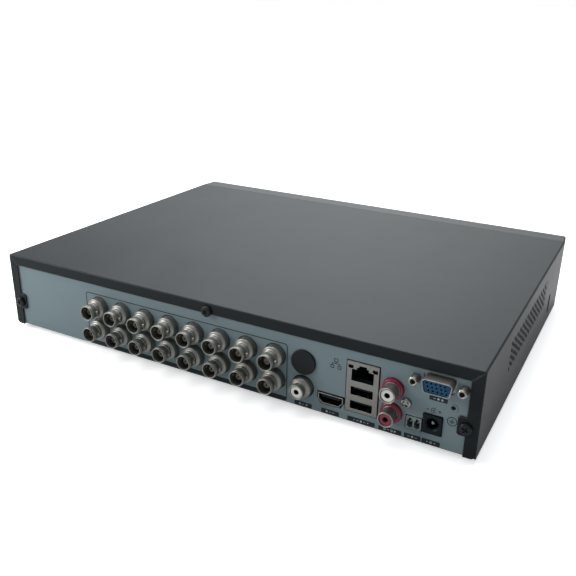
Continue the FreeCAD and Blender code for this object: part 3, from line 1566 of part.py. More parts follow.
def build():
    return {
        "base_chassis": make_base_chassis(),
        "rear_panel": make_rear_panel(),
        "front_wall": make_front_wall(),
        "top_cover": make_top_cover(),
        "cover_screws": make_cover_screws(),
        "rubber_feet": make_rubber_feet(),
        "front_bezel": make_front_bezel(),
        "front_window": make_front_window(),
        "light_guides": make_light_guides(),
        "front_board": make_front_board(),
        "status_leds": make_status_leds(),
        "infrared_receiver": make_infrared_receiver(),
        "blanking_plug": make_blanking_plug(),
        "panel_print": make_panel_print(),
        "main_board": make_main_board(),
        "board_standoffs": make_board_standoffs(),
        "board_screws": make_board_screws(),
        "processor": make_processor(),
        "heat_sink": make_heat_sink(),
        "fan_frame": make_fan_frame(),
        "fan_rotor": make_fan_rotor(),
        "board_chips": make_board_chips(),
        "capacitors": make_capacitors(),
        "board_sockets": make_board_sockets(),
        "coin_cell_holder": make_coin_cell_holder(),
        "coin_cell": make_coin_cell(),
        "buzzer": make_buzzer(),
        "bnc_housings": make_bnc_housings(),
        "bnc_shells": make_bnc_shells(),
        "bnc_insulators": make_bnc_insulators(),
        "bnc_contacts": make_bnc_contacts(),
        "phono_housings": make_phono_housings(),
        "phono_shells": make_phono_shells(),
        "phono_rings": make_phono_rings(),
        "phono_inserts_white": make_phono_inserts_white(),
        "phono_insert_red": make_phono_insert_red(),
        "hdmi_shell": make_hdmi_shell(),
        "hdmi_tongue": make_hdmi_tongue(),
        "network_usb_shell": make_network_usb_shell(),
        "network_usb_insert": make_network_insert(),
        "network_contacts": make_network_contacts(),
        "usb_tongues": make_usb_tongues(),
        "side_usb_shell": make_side_usb_shell(),
        "riser_boards": make_riser_boards(),
        "vga_shell": make_vga_shell(),
        "vga_insert": make_vga_insert(),
        "vga_jack_screws": make_vga_jack_screws(),
        "terminal_body": make_terminal_body(),
        "socket_pins": make_socket_pins(),
        "dc_socket_body": make_dc_socket_body(),
        "connector_screw": make_connector_screw(),
        "drive_base": make_drive_base(),
        "drive_lid": make_drive_lid(),
        "drive_platters": make_drive_platters(),
        "drive_actuator": make_drive_actuator(),
        "drive_board": make_drive_board(),
        "drive_screws": make_drive_screws(),
        "drive_data_lead": make_drive_data_lead(),
        "drive_power_lead": make_drive_power_lead(),
        "signal_leads": make_signal_leads(),
    }


os.makedirs("parts", exist_ok=True)
for name, shape in build().items():
    shape.translate(model_shift)
    shape.exportStep("parts/" + name + ".step")
    box = shape.BoundBox
    print("%-20s solids %3d valid %s volume %10.1f  x %7.1f %7.1f  y %7.1f %7.1f  z %6.1f %6.1f" % (
        name, len(shape.Solids), shape.isValid(), shape.Volume,
        box.XMin, box.XMax, box.YMin, box.YMax, box.ZMin, box.ZMax))
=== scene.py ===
import json
import math
import bmesh
import bpy
import numpy as np
from mathutils import Matrix, Vector


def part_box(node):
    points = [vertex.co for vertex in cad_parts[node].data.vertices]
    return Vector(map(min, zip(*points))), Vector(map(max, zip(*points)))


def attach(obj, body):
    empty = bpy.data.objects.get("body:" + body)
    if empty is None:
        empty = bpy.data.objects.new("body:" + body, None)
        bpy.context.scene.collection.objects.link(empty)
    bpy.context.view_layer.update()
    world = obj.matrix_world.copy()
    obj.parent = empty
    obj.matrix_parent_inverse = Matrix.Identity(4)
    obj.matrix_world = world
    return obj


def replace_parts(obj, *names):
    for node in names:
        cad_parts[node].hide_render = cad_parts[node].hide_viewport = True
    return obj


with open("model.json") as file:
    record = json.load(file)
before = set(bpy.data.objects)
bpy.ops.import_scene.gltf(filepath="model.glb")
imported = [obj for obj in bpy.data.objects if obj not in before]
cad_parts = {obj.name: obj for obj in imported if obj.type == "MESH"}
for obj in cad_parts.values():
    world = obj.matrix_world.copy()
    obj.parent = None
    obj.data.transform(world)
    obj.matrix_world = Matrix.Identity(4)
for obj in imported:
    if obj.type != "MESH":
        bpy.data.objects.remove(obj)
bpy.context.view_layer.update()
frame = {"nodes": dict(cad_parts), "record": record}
cadNodes = frame["nodes"]
slotOfNode = {part["node"]: part["material_slot"] for part in frame["record"]["subparts"]}
mm = 0.001
print("frame loaded,", len(cadNodes), "nodes")

# camera: behind the recorder, a little to its side and above, with a slight tilt of the horizon
cameraView = {
    "eye": (-0.2178, 0.42295, 0.2166),
    "aim": (-0.0021, 0.02135, 0.0298),
    "lens": 44.45,
    "tilt": 1.07,  # degrees
}


def makeCamera(view):
    eye = Vector(view["eye"])
    forward = (Vector(view["aim"]) - eye).normalized()
    right = forward.cross(Vector((0, 0, 1))).normalized()
    up = right.cross(forward)
    tilt = math.radians(view["tilt"])
    across = right * math.cos(tilt) + up * math.sin(tilt)
    above = up * math.cos(tilt) - right * math.sin(tilt)
    data = bpy.data.cameras.new("studioCamera")
    data.lens = view["lens"]
    data.sensor_width = 36.0
    data.clip_start, data.clip_end = 0.01, 60.0
    camera = bpy.data.objects.new("studioCamera", data)
    bpy.context.scene.collection.objects.link(camera)
    camera.matrix_world = Matrix((
        (across.x, above.x, -forward.x, eye.x),
        (across.y, above.y, -forward.y, eye.y),
        (across.z, above.z, -forward.z, eye.z),
        (0, 0, 0, 1),
    ))
    bpy.context.scene.camera = camera


makeCamera(cameraView)
print("camera placed")


# shader groups that many finishes share; each puts out masks, values and normals only

def newGroup(name, inputs, outputs):
    tree = bpy.data.node_groups.new(name, "ShaderNodeTree")
    for label, kind, value in inputs:
        entry = tree.interface.new_socket(name=label, in_out="INPUT", socket_type=kind)
        if value is not None:
            entry.default_value = value
    for label, kind in outputs:
        tree.interface.new_socket(name=label, in_out="OUTPUT", socket_type=kind)
    return tree, tree.nodes.new("NodeGroupInput"), tree.nodes.new("NodeGroupOutput")


def addNode(tree, kind, values=(), **settings):
    node = tree.nodes.new(kind)
    for key, value in settings.items():
        setattr(node, key, value)
    for key, value in dict(values).items():
        if isinstance(value, bpy.types.NodeSocket):
            tree.links.new(value, node.inputs[key])
        else:
            node.inputs[key].default_value = value
    return node


def mathNode(tree, operation, a, b=0.0, clamp=False):
    return addNode(tree, "ShaderNodeMath", {0: a, 1: b}, operation=operation, use_clamp=clamp).outputs[0]


def mixColour(tree, mask, under, over):
    return addNode(tree, "ShaderNodeMix", {0: mask, 6: under, 7: over}, data_type="RGBA").outputs[2]


def mapNode(tree, value, low, high, toLow, toHigh):
    values = {"Value": value, "From Min": low, "From Max": high, "To Min": toLow, "To Max": toHigh}
    return addNode(tree, "ShaderNodeMapRange", values, clamp=True).outputs["Result"]


def makeGrainGroup():  # cloudy tone over a wide scale, and a fine tooth for the relief
    tree, given, result = newGroup(
        "surfaceGrain",
        [("Vector", "NodeSocketVector", None), ("Cloud", "NodeSocketFloat", 30.0),
         ("Tooth", "NodeSocketFloat", 2500.0)],
        [("Tone", "NodeSocketFloat"), ("Height", "NodeSocketFloat")],
    )
    cloud = addNode(tree, "ShaderNodeTexNoise", {
        "Vector": given.outputs["Vector"], "Scale": given.outputs["Cloud"], "Detail": 4.0, "Roughness": 0.55})
    tooth = addNode(tree, "ShaderNodeTexNoise", {
        "Vector": given.outputs["Vector"], "Scale": given.outputs["Tooth"], "Detail": 3.0, "Roughness": 0.6})
    tone = mathNode(tree, "MULTIPLY_ADD", cloud.outputs["Fac"], 0.7)
    tree.links.new(mathNode(tree, "MULTIPLY", tooth.outputs["Fac"], 0.3), tone.node.inputs[2])
    tree.links.new(mapNode(tree, tone, 0.3, 0.7, 0.0, 1.0), result.inputs["Tone"])
    tree.links.new(tooth.outputs["Fac"], result.inputs["Height"])
    return tree


def makeEdgeGroup():  # how far the rounded normal turns from the flat one marks an edge; the mask lightens edges, partly as wear and partly as painted highlight
    tree, given, result = newGroup(
        "edgeWearAndHighlightMask",
        [("Vector", "NodeSocketVector", None), ("Radius", "NodeSocketFloat", 0.0003),
         ("Breakup", "NodeSocketFloat", 900.0)],
        [("Mask", "NodeSocketFloat"), ("Normal", "NodeSocketVector")],
    )
    soft = addNode(tree, "ShaderNodeBevel", {"Radius": given.outputs["Radius"]}, samples=4)
    flat = addNode(tree, "ShaderNodeNewGeometry")
    turn = addNode(tree, "ShaderNodeVectorMath", {0: soft.outputs[0], 1: flat.outputs["Normal"]},
                   operation="DOT_PRODUCT").outputs["Value"]
    edge = mapNode(tree, turn, 0.995, 0.82, 0.0, 1.0)
    noise = addNode(tree, "ShaderNodeTexNoise", {
        "Vector": given.outputs["Vector"], "Scale": given.outputs["Breakup"], "Detail": 3.0})
    patchy = mapNode(tree, noise.outputs["Fac"], 0.35, 0.6, 0.35, 1.0)
    tree.links.new(mathNode(tree, "MULTIPLY", edge, patchy), result.inputs["Mask"])
    tree.links.new(soft.outputs[0], result.inputs["Normal"])
    return tree


def makeDustGroup():  # thin dust where a surface faces up, thicker in patches
    tree, given, result = newGroup(
        "dustFilm",
        [("Vector", "NodeSocketVector", None), ("Amount", "NodeSocketFloat", 0.1)],
        [("Mask", "NodeSocketFloat")],
    )
    flat = addNode(tree, "ShaderNodeNewGeometry")
    facing = addNode(tree, "ShaderNodeSeparateXYZ", {0: flat.outputs["Normal"]}).outputs["Z"]
    upward = mapNode(tree, facing, 0.2, 1.0, 0.15, 1.0)
    patches = addNode(tree, "ShaderNodeTexNoise", {
        "Vector": given.outputs["Vector"], "Scale": 14.0, "Detail": 6.0, "Roughness": 0.65})
    specks = addNode(tree, "ShaderNodeTexVoronoi", {"Vector": given.outputs["Vector"], "Scale": 420.0})
    speck = mapNode(tree, specks.outputs["Distance"], 0.05, 0.16, 1.0, 0.0)
    thick = mapNode(tree, patches.outputs["Fac"], 0.42, 0.7, 0.25, 1.0)
    film = mathNode(tree, "MULTIPLY", upward, mathNode(tree, "MAXIMUM", thick, speck))
    tree.links.new(mathNode(tree, "MULTIPLY", film, given.outputs["Amount"], True), result.inputs["Mask"])
    return tree


def makeBrushGroup():  # noise drawn out along one axis, as a brush or a tool leaves it
    tree, given, result = newGroup(
        "toolLines",
        [("Vector", "NodeSocketVector", None), ("Stretch", "NodeSocketVector", (1.0, 60.0, 60.0)),
         ("Scale", "NodeSocketFloat", 40.0)],
        [("Tone", "NodeSocketFloat"), ("Height", "NodeSocketFloat")],
    )
    drawn = addNode(tree, "ShaderNodeVectorMath", {0: given.outputs["Vector"], 1: given.outputs["Stretch"]},
                    operation="MULTIPLY").outputs[0]
    noise = addNode(tree, "ShaderNodeTexNoise", {
        "Vector": drawn, "Scale": given.outputs["Scale"], "Detail": 5.0, "Roughness": 0.7})
    tree.links.new(mapNode(tree, noise.outputs["Fac"], 0.3, 0.7, 0.0, 1.0), result.inputs["Tone"])
    tree.links.new(noise.outputs["Fac"], result.inputs["Height"])
    return tree


grainGroup = makeGrainGroup()
edgeGroup = makeEdgeGroup()
dustGroup = makeDustGroup()
brushGroup = makeBrushGroup()
print("shader groups made")


# finishes: colours are linear, lengths in metres
# the 'edge' colours are partly wear and partly painted highlight on rims; cover_paint's pale edge colour is
# mostly a painted highlight line along the cover's edges
finishes = {
    "cover_paint": {
        "base": (0.0052, 0.0082, 0.0098), "second": (0.0080, 0.0116, 0.0132),
        "edge": (0.30, 0.31, 0.32), "rough": (0.30, 0.38), "cloud": 9.0, "tooth": 2600.0,
        "relief": 9e-6, "radius": 6e-4, "wearAndHighlight": 0.45, "dust": 0.03, "gloss": 0.12},
    "chassis_paint": {
        "base": (0.118, 0.165, 0.180), "second": (0.135, 0.186, 0.203), "edge": (0.34, 0.40, 0.42),
        "rough": (0.36, 0.50), "cloud": 16.0, "tooth": 2200.0, "relief": 7e-6, "radius": 3e-4,
        "wearAndHighlight": 0.35, "dust": 0.03, "gloss": 0.35},
    "black_screw": {
        "base": (0.007, 0.009, 0.011), "second": (0.012, 0.014, 0.016), "edge": (0.14, 0.14, 0.14),
        "rough": (0.24, 0.38), "cloud": 300.0, "tooth": 5000.0, "relief": 4e-6, "radius": 1.5e-4,
        "wearAndHighlight": 0.5, "dust": 0.0, "gloss": 0.2},
    "bright_screw": {
        "base": (0.32, 0.32, 0.31), "second": (0.26, 0.26, 0.25), "edge": (0.88, 0.88, 0.87),
        "rough": (0.22, 0.36), "cloud": 300.0, "tooth": 5000.0, "relief": 3e-6, "radius": 1.5e-4,
        "wearAndHighlight": 0.6, "dust": 0.0, "metal": 1.0},
    "nickel": {
        "base": (0.31, 0.307, 0.285), "second": (0.23, 0.226, 0.208), "edge": (0.88, 0.86, 0.82),
        "rough": (0.38, 0.54), "cloud": 220.0, "tooth": 4200.0, "relief": 5e-6, "radius": 2e-4,
        "wearAndHighlight": 0.8, "dust": 0.0, "metal": 1.0, "lines": (1.0, 40.0, 1.0)},
    "tin_can": {
        "base": (0.225, 0.222, 0.210), "second": (0.180, 0.176, 0.166), "edge": (0.9, 0.88, 0.82),
        "rough": (0.26, 0.42), "cloud": 160.0, "tooth": 3800.0, "relief": 5e-6, "radius": 2e-4,
        "wearAndHighlight": 0.7, "dust": 0.0, "metal": 1.0, "lines": (60.0, 60.0, 1.0)},
    "gold_contact": {
        "base": (0.36, 0.28, 0.14), "second": (0.28, 0.21, 0.10), "edge": (0.9, 0.75, 0.40),
        "rough": (0.16, 0.30), "cloud": 400.0, "tooth": 6000.0, "relief": 2e-6, "radius": 1e-4,
        "wearAndHighlight": 0.5, "dust": 0.0, "metal": 1.0},
    "black_plastic": {
        "base": (0.008, 0.010, 0.012), "second": (0.013, 0.016, 0.018), "edge": (0.07, 0.075, 0.08),
        "rough": (0.38, 0.52), "cloud": 120.0, "tooth": 3400.0, "relief": 1.2e-5, "radius": 3e-4,
        "wearAndHighlight": 0.4, "dust": 0.02, "gloss": 0.12},
    "bezel_plastic": {
        "base": (0.012, 0.014, 0.015), "second": (0.018, 0.020, 0.021), "edge": (0.10, 0.105, 0.11),
        "rough": (0.30, 0.42), "cloud": 12.0, "tooth": 2800.0, "relief": 1.2e-5, "radius": 6e-4,
        "wearAndHighlight": 0.35, "dust": 0.03, "gloss": 0.22},
    "socket_black": {
        "base": (0.004, 0.008, 0.010), "second": (0.007, 0.012, 0.014),
        "edge": (0.06, 0.065, 0.065), "rough": (0.34, 0.50), "cloud": 200.0, "tooth": 4200.0,
        "relief": 8e-6, "radius": 2e-4, "wearAndHighlight": 0.4, "dust": 0.0, "gloss": 0.12},
    "blue_plastic": {
        "base": (0.002, 0.038, 0.085), "second": (0.003, 0.050, 0.105), "edge": (0.02, 0.11, 0.21),
        "rough": (0.34, 0.46), "cloud": 200.0, "tooth": 4200.0, "relief": 7e-6, "radius": 2e-4,
        "wearAndHighlight": 0.4, "dust": 0.0, "gloss": 0.2},
    "red_plastic": {
        "base": (0.150, 0.005, 0.026), "second": (0.195, 0.008, 0.036), "edge": (0.50, 0.06, 0.12),
        "rough": (0.22, 0.34), "cloud": 200.0, "tooth": 4200.0, "relief": 5e-6, "radius": 2.5e-4,
        "wearAndHighlight": 0.4, "dust": 0.0},
    "white_plastic": {
        "base": (0.62, 0.61, 0.57), "second": (0.52, 0.51, 0.475), "edge": (0.8, 0.79, 0.75),
        "rough": (0.30, 0.44), "cloud": 200.0, "tooth": 4200.0, "relief": 6e-6, "radius": 2.5e-4,
        "wearAndHighlight": 0.4, "dust": 0.0},
    "dielectric": {
        "base": (0.060, 0.058, 0.053), "second": (0.044, 0.042, 0.039), "edge": (0.28, 0.27, 0.26),
        "rough": (0.36, 0.50), "cloud": 300.0, "tooth": 5200.0, "relief": 5e-6, "radius": 2e-4,
        "wearAndHighlight": 0.5, "dust": 0.0},
    "grey_plastic": {
        "base": (0.155, 0.195, 0.200), "second": (0.125, 0.160, 0.165), "edge": (0.30, 0.34, 0.34),
        "rough": (0.40, 0.55), "cloud": 200.0, "tooth": 4200.0, "relief": 8e-6, "radius": 2e-4,
        "wearAndHighlight": 0.5, "dust": 0.0},
    "smoked_window": {
        "base": (0.008, 0.005, 0.008), "second": (0.014, 0.008, 0.013), "edge": (0.08, 0.05, 0.08),
        "rough": (0.05, 0.14), "cloud": 30.0, "tooth": 1500.0, "relief": 1e-6, "radius": 3e-4,
        "wearAndHighlight": 0.3, "dust": 0.05},
    "clear_guide": {
        "base": (0.80, 0.84, 0.86), "second": (0.72, 0.77, 0.80), "edge": (0.95, 0.97, 0.98),
        "rough": (0.08, 0.16), "cloud": 200.0, "tooth": 3000.0, "relief": 1e-6, "radius": 2e-4,
        "wearAndHighlight": 0.3, "dust": 0.0, "clear": 0.9},
    "led_lens": {
        "base": (0.50, 0.62, 0.48), "second": (0.42, 0.54, 0.42), "edge": (0.75, 0.85, 0.72),
        "rough": (0.10, 0.20), "cloud": 300.0, "tooth": 3000.0, "relief": 1e-6, "radius": 2e-4,
        "wearAndHighlight": 0.3, "dust": 0.0},
    "foot_rubber": {
        "base": (0.014, 0.014, 0.015), "second": (0.026, 0.026, 0.027), "edge": (0.07, 0.07, 0.07),
        "rough": (0.62, 0.82), "cloud": 160.0, "tooth": 2600.0, "relief": 2.5e-5, "radius": 4e-4,
        "wearAndHighlight": 0.5, "dust": 0.10},
    "green_board": {
        "base": (0.008, 0.095, 0.035), "second": (0.016, 0.150, 0.060), "edge": (0.20, 0.26, 0.12),
        "rough": (0.22, 0.38), "cloud": 260.0, "tooth": 2400.0, "relief": 1e-5, "radius": 2e-4,
        "wearAndHighlight": 0.5, "dust": 0.10, "lines": (1.0, 18.0, 1.0)},
    "chip_resin": {
        "base": (0.018, 0.018, 0.019), "second": (0.030, 0.030, 0.031), "edge": (0.08, 0.08, 0.08),
        "rough": (0.50, 0.66), "cloud": 260.0, "tooth": 5200.0, "relief": 1e-5, "radius": 2e-4,
        "wearAndHighlight": 0.4, "dust": 0.08},
    "black_aluminium": {
        "base": (0.030, 0.030, 0.033), "second": (0.050, 0.050, 0.054), "edge": (0.45, 0.45, 0.45),
        "rough": (0.34, 0.50), "cloud": 120.0, "tooth": 3200.0, "relief": 8e-6, "radius": 2e-4,
        "wearAndHighlight": 0.5, "dust": 0.10, "metal": 0.7, "lines": (60.0, 1.0, 60.0)},
    "cast_aluminium": {
        "base": (0.44, 0.45, 0.46), "second": (0.32, 0.33, 0.34), "edge": (0.80, 0.81, 0.82),
        "rough": (0.38, 0.58), "cloud": 90.0, "tooth": 1500.0, "relief": 3e-5, "radius": 4e-4,
        "wearAndHighlight": 0.5, "dust": 0.05, "metal": 1.0},
    "disc_mirror": {
        "base": (0.82, 0.82, 0.83), "second": (0.76, 0.76, 0.78), "edge": (0.95, 0.95, 0.95),
        "rough": (0.02, 0.06), "cloud": 60.0, "tooth": 2500.0, "relief": 3e-7, "radius": 1e-4,
        "wearAndHighlight": 0.2, "dust": 0.0, "metal": 1.0},
    "bright_aluminium": {
        "base": (0.62, 0.63, 0.64), "second": (0.52, 0.53, 0.54), "edge": (0.88, 0.88, 0.88),
        "rough": (0.24, 0.38), "cloud": 120.0, "tooth": 3200.0, "relief": 6e-6, "radius": 3e-4,
        "wearAndHighlight": 0.5, "dust": 0.05, "metal": 1.0, "lines": (1.0, 60.0, 60.0)},
    "cell_steel": {
        "base": (0.62, 0.62, 0.60), "second": (0.54, 0.54, 0.52), "edge": (0.88, 0.88, 0.86),
        "rough": (0.16, 0.28), "cloud": 200.0, "tooth": 3200.0, "relief": 3e-6, "radius": 2e-4,
        "wearAndHighlight": 0.4, "dust": 0.05, "metal": 1.0, "lines": (1.0, 60.0, 60.0)},
    "brass_post": {
        "base": (0.55, 0.40, 0.15), "second": (0.44, 0.31, 0.11), "edge": (0.85, 0.70, 0.36),
        "rough": (0.24, 0.40), "cloud": 300.0, "tooth": 4200.0, "relief": 4e-6, "radius": 2e-4,
        "wearAndHighlight": 0.5, "dust": 0.0, "metal": 1.0},
    "ink": {
        "base": (0.010, 0.014, 0.017), "second": (0.015, 0.021, 0.025), "edge": (0.04, 0.05, 0.055),
        "rough": (0.42, 0.56), "cloud": 160.0, "tooth": 4200.0, "relief": 4e-6, "radius": 5e-5,
        "wearAndHighlight": 0.2, "dust": 0.0, "gloss": 0.15},
    "lead_sheath": {
        "base": (0.30, 0.020, 0.016), "second": (0.38, 0.032, 0.024), "edge": (0.5, 0.10, 0.08),
        "rough": (0.34, 0.48), "cloud": 120.0, "tooth": 2200.0, "relief": 1.2e-5, "radius": 3e-4,
        "wearAndHighlight": 0.3, "dust": 0.08},
    "lead_sheath_dark": {
        "base": (0.016, 0.016, 0.017), "second": (0.028, 0.028, 0.030), "edge": (0.06, 0.06, 0.06),
        "rough": (0.38, 0.52), "cloud": 120.0, "tooth": 2200.0, "relief": 1.2e-5, "radius": 3e-4,
        "wearAndHighlight": 0.3, "dust": 0.08},
    "pale_ink": {
        "base": (0.36, 0.42, 0.43), "second": (0.28, 0.33, 0.34), "edge": (0.4, 0.45, 0.46),
        "rough": (0.45, 0.6), "cloud": 900.0, "tooth": 4200.0, "relief": 3e-6, "radius": 2e-5,
        "wearAndHighlight": 0.2, "dust": 0.0},
    "studio_floor": {
        "base": (0.86, 0.865, 0.87), "second": (0.88, 0.885, 0.89), "edge": (0.9, 0.9, 0.9),
        "rough": (0.7, 0.8), "cloud": 2.0, "tooth": 300.0, "relief": 1e-5, "radius": 1e-4,
        "wearAndHighlight": 0.0, "dust": 0.0},
}
dustLook = {"tone": (0.30, 0.29, 0.27, 1.0), "rough": 0.35}
reliefStrength = 0.6


def makeFinish(name, look):
    material = bpy.data.materials.new(name)
    material.use_nodes = True
    tree = material.node_tree
    shader = tree.nodes["Principled BSDF"]
    place = addNode(tree, "ShaderNodeTexCoord").outputs["Object"]
    grain = addNode(tree, "ShaderNodeGroup", node_tree=grainGroup)
    edges = addNode(tree, "ShaderNodeGroup", node_tree=edgeGroup)
    dust = addNode(tree, "ShaderNodeGroup", node_tree=dustGroup)
    for group in (grain, edges, dust):
        tree.links.new(place, group.inputs["Vector"])
    grain.inputs["Cloud"].default_value = look["cloud"]
    grain.inputs["Tooth"].default_value = look["tooth"]
    edges.inputs["Radius"].default_value = look["radius"]
    dust.inputs["Amount"].default_value = look["dust"]
    tone, height = grain.outputs["Tone"], grain.outputs["Height"]
    if "lines" in look:
        brush = addNode(tree, "ShaderNodeGroup", node_tree=brushGroup)
        tree.links.new(place, brush.inputs["Vector"])
        brush.inputs["Stretch"].default_value = look["lines"]
        tone = mathNode(tree, "MULTIPLY", mathNode(tree, "ADD", tone, brush.outputs["Tone"]), 0.5)
        height = mathNode(tree, "ADD", height, brush.outputs["Height"])
    # edges are mixed toward the 'edge' colour: partly wear, partly painted highlight along rims
    rimWearAndHighlight = mathNode(tree, "MULTIPLY", edges.outputs["Mask"], look["wearAndHighlight"])
    fresh = mixColour(tree, tone, (*look["base"], 1), (*look["second"], 1))
    fresh = mixColour(tree, rimWearAndHighlight, fresh, (*look["edge"], 1))
    fresh = mixColour(tree, dust.outputs["Mask"], fresh, dustLook["tone"])
    tree.links.new(fresh, shader.inputs["Base Color"])
    low, high = look["rough"]
    rough = mapNode(tree, tone, 0.0, 1.0, low, high)
    dusty = mathNode(tree, "MULTIPLY_ADD", dust.outputs["Mask"], dustLook["rough"])
    tree.links.new(rough, dusty.node.inputs[2])
    tree.links.new(dusty, shader.inputs["Roughness"])
    bump = addNode(tree, "ShaderNodeBump", {
        "Strength": reliefStrength, "Distance": look["relief"], "Height": height,
        "Normal": edges.outputs["Normal"]})
    tree.links.new(bump.outputs["Normal"], shader.inputs["Normal"])
    shader.inputs["Metallic"].default_value = look.get("metal", 0.0)
    shader.inputs["Specular IOR Level"].default_value = look.get("gloss", 0.5)
    shader.inputs["Transmission Weight"].default_value = look.get("clear", 0.0)
    return material


finishOf = {name: makeFinish(name, look) for name, look in finishes.items() if name != "studio_floor"}
for node, piece in cadNodes.items():
    piece.data.materials.clear()
    piece.data.materials.append(finishOf[slotOfNode[node]])
print(len(finishOf), "finishes made")


# surfaces: every new piece is one or more grids of points, joined into a mesh

def gridFaces(rows, columns, closedRows, closedColumns, first):
    i = np.arange(rows if closedRows else rows - 1)[:, None]
    j = np.arange(columns if closedColumns else columns - 1)[None, :]
    down, along = (i + 1) % rows, (j + 1) % columns
    corners = [i * columns + j, i * columns + along, down * columns + along, down * columns + j]
    return first + np.stack([c + np.zeros_like(i * j) for c in corners], axis=-1).reshape(-1, 4)


def makePiece(name, grids, slot, body="recorder", sharp=35.0):
    points, faces, count = [], [], 0
    for grid, closedRows, closedColumns in grids:
        rows, columns = grid.shape[:2]
        points.append(grid.reshape(-1, 3))
        faces.append(gridFaces(rows, columns, closedRows, closedColumns, count))
        count += rows * columns
    mesh = bpy.data.meshes.new(name)
    mesh.from_pydata(np.concatenate(points).tolist(), [], np.concatenate(faces).tolist())
    work = bmesh.new()
    work.from_mesh(mesh)
    bmesh.ops.remove_doubles(work, verts=work.verts, dist=1e-7)
    bmesh.ops.recalc_face_normals(work, faces=work.faces)
    work.to_mesh(mesh)
    work.free()
    mesh.shade_smooth()
    mesh.set_sharp_from_angle(angle=math.radians(sharp))
    mesh.materials.append(finishOf[slot])
    piece = bpy.data.objects.new(name, mesh)
    bpy.context.scene.collection.objects.link(piece)
    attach(piece, body)
    return piece


def easeCorners(outline, cut, steps=5):  # each corner of a closed outline becomes a short quadratic curve
    points = np.asarray(outline, float)
    before, after = np.roll(points, 1, 0) - points, np.roll(points, -1, 0) - points
    reachIn = np.linalg.norm(before, axis=1, keepdims=True)
    reachOut = np.linalg.norm(after, axis=1, keepdims=True)
    start = points + before / reachIn * np.minimum(cut, 0.45 * reachIn)
    end = points + after / reachOut * np.minimum(cut, 0.45 * reachOut)
    t = np.linspace(0, 1, steps)[None, :, None]
    curve = (1 - t) ** 2 * start[:, None] + 2 * t * (1 - t) * points[:, None] + t ** 2 * end[:, None]
    return curve.reshape(-1, 2)


# an outline of (along, radius) is carried round an axis: across = radius cos t, up = radius sin t
def turned(outline, centre, axis, turns):
    outline = np.asarray(outline, float)
    angle = np.linspace(0, 2 * math.pi, turns, endpoint=False)
    along = outline[:, :1] + np.zeros_like(angle)[None, :]
    across = outline[:, 1:] * np.cos(angle)[None, :]
    up = outline[:, 1:] * np.sin(angle)[None, :]
    order = {"x": (along, across, up), "y": (across, along, up), "z": (across, up, along)}[axis]
    return (np.stack(order, axis=-1) + np.asarray(centre, float)) * mm


groundRim = 0.35  # how far the ground hole's rim stands proud of the panel's outer face
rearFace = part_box("rear_panel")[1][1] / mm - groundRim
print("helpers ready, rear face at", round(rearFace, 3))


def eased(low, high, value):  # smooth step from 0 to 1
    t = np.clip((value - low) / (high - low), 0, 1)
    return t * t * (3 - 2 * t)


# video sockets: a turned shell round a deep mouth, with two bayonet lugs
videoSocket = {
    "firstX": 83.5, "pitch": 18.34, "lowZ": 16.7, "rowPitch": 14.9, "columns": 8, "rows": 2,
    "turns": 56,
    "shell": [
        (-11.0, 6.4), (0.35, 6.4), (0.5, 6.28), (0.8, 6.28), (0.95, 6.4), (3.95, 6.4), (4.4, 6.0),
        (4.55, 5.2), (5.15, 4.52), (6.1, 4.5), (6.25, 4.78), (6.65, 4.78), (6.8, 4.5), (9.05, 4.5),
        (9.15, 4.82), (11.3, 4.82), (11.5, 4.6), (12.1, 4.6), (12.35, 4.72), (12.5, 4.55),
        (12.5, 4.3), (12.2, 4.12), (3.5, 4.1), (3.5, 2.3), (-11.0, 2.3)],
    "ease": 0.12,
    "lug": [(4.0, 0.0), (4.0, 1.0), (5.2, 1.0), (5.46, 0.84), (5.57, 0.5), (5.57, 0.0)],
    "lugAt": 7.9, "lugTurns": 20,
}


def makeVideoSockets(look):
    ring = easeCorners(look["shell"], look["ease"], 3)
    grids = []
    for row in range(look["rows"]):
        for column in range(look["columns"]):
            x = look["firstX"] - column * look["pitch"]
            z = look["lowZ"] + row * look["rowPitch"]
            grids.append((turned(ring, (x, rearFace, z), "y", look["turns"]), True, True))
            for side in (-1, 1):
                lug = np.array(look["lug"]) * (side, 1)
                place = (x, rearFace + look["lugAt"], z)
                grids.append((turned(lug, place, "x", look["lugTurns"]), False, True))
    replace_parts(makePiece("videoSockets", grids, "nickel"), "bnc_shells")


makeVideoSockets(videoSocket)
print("video sockets made")

# audio sockets: thin turned barrels with a rolled rim; the single one stands on a wide base
audioSocket = {
    "single": {"place": (-62.7, 16.6), "shell": [
        (-8.0, 4.4), (-1.2, 4.4), (-1.2, 6.2), (0.3, 6.2), (0.42, 6.1), (0.7, 6.1), (0.82, 6.2),
        (3.0, 6.2), (3.6, 5.6), (3.9, 5.0), (4.4, 4.35), (4.6, 4.15), (7.35, 4.15), (7.6, 4.4),
        (8.25, 4.4), (8.5, 4.2), (8.5, 3.85), (8.2, 3.62), (-8.0, 3.6)]},
    "low": {"place": (-115.0, 16.5), "shell": [
        (-8.0, 4.4), (2.1, 4.4), (2.3, 4.15), (8.35, 4.15), (8.6, 4.42), (9.25, 4.42), (9.5, 4.2),
        (9.5, 3.85), (9.2, 3.62), (-8.0, 3.6)]},
    "ease": 0.16, "turns": 72, "gap": 14.2,
}


def makeAudioSockets(look):
    grids = []
    for name, lift in (("single", 0.0), ("low", 0.0), ("low", look["gap"])):
        x, z = look[name]["place"]
        ring = easeCorners(look[name]["shell"], look["ease"], 5)
        grids.append((turned(ring, (x, rearFace, z + lift), "y", look["turns"]), True, True))
    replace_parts(makePiece("audioSockets", grids, "nickel"), "phono_shells")


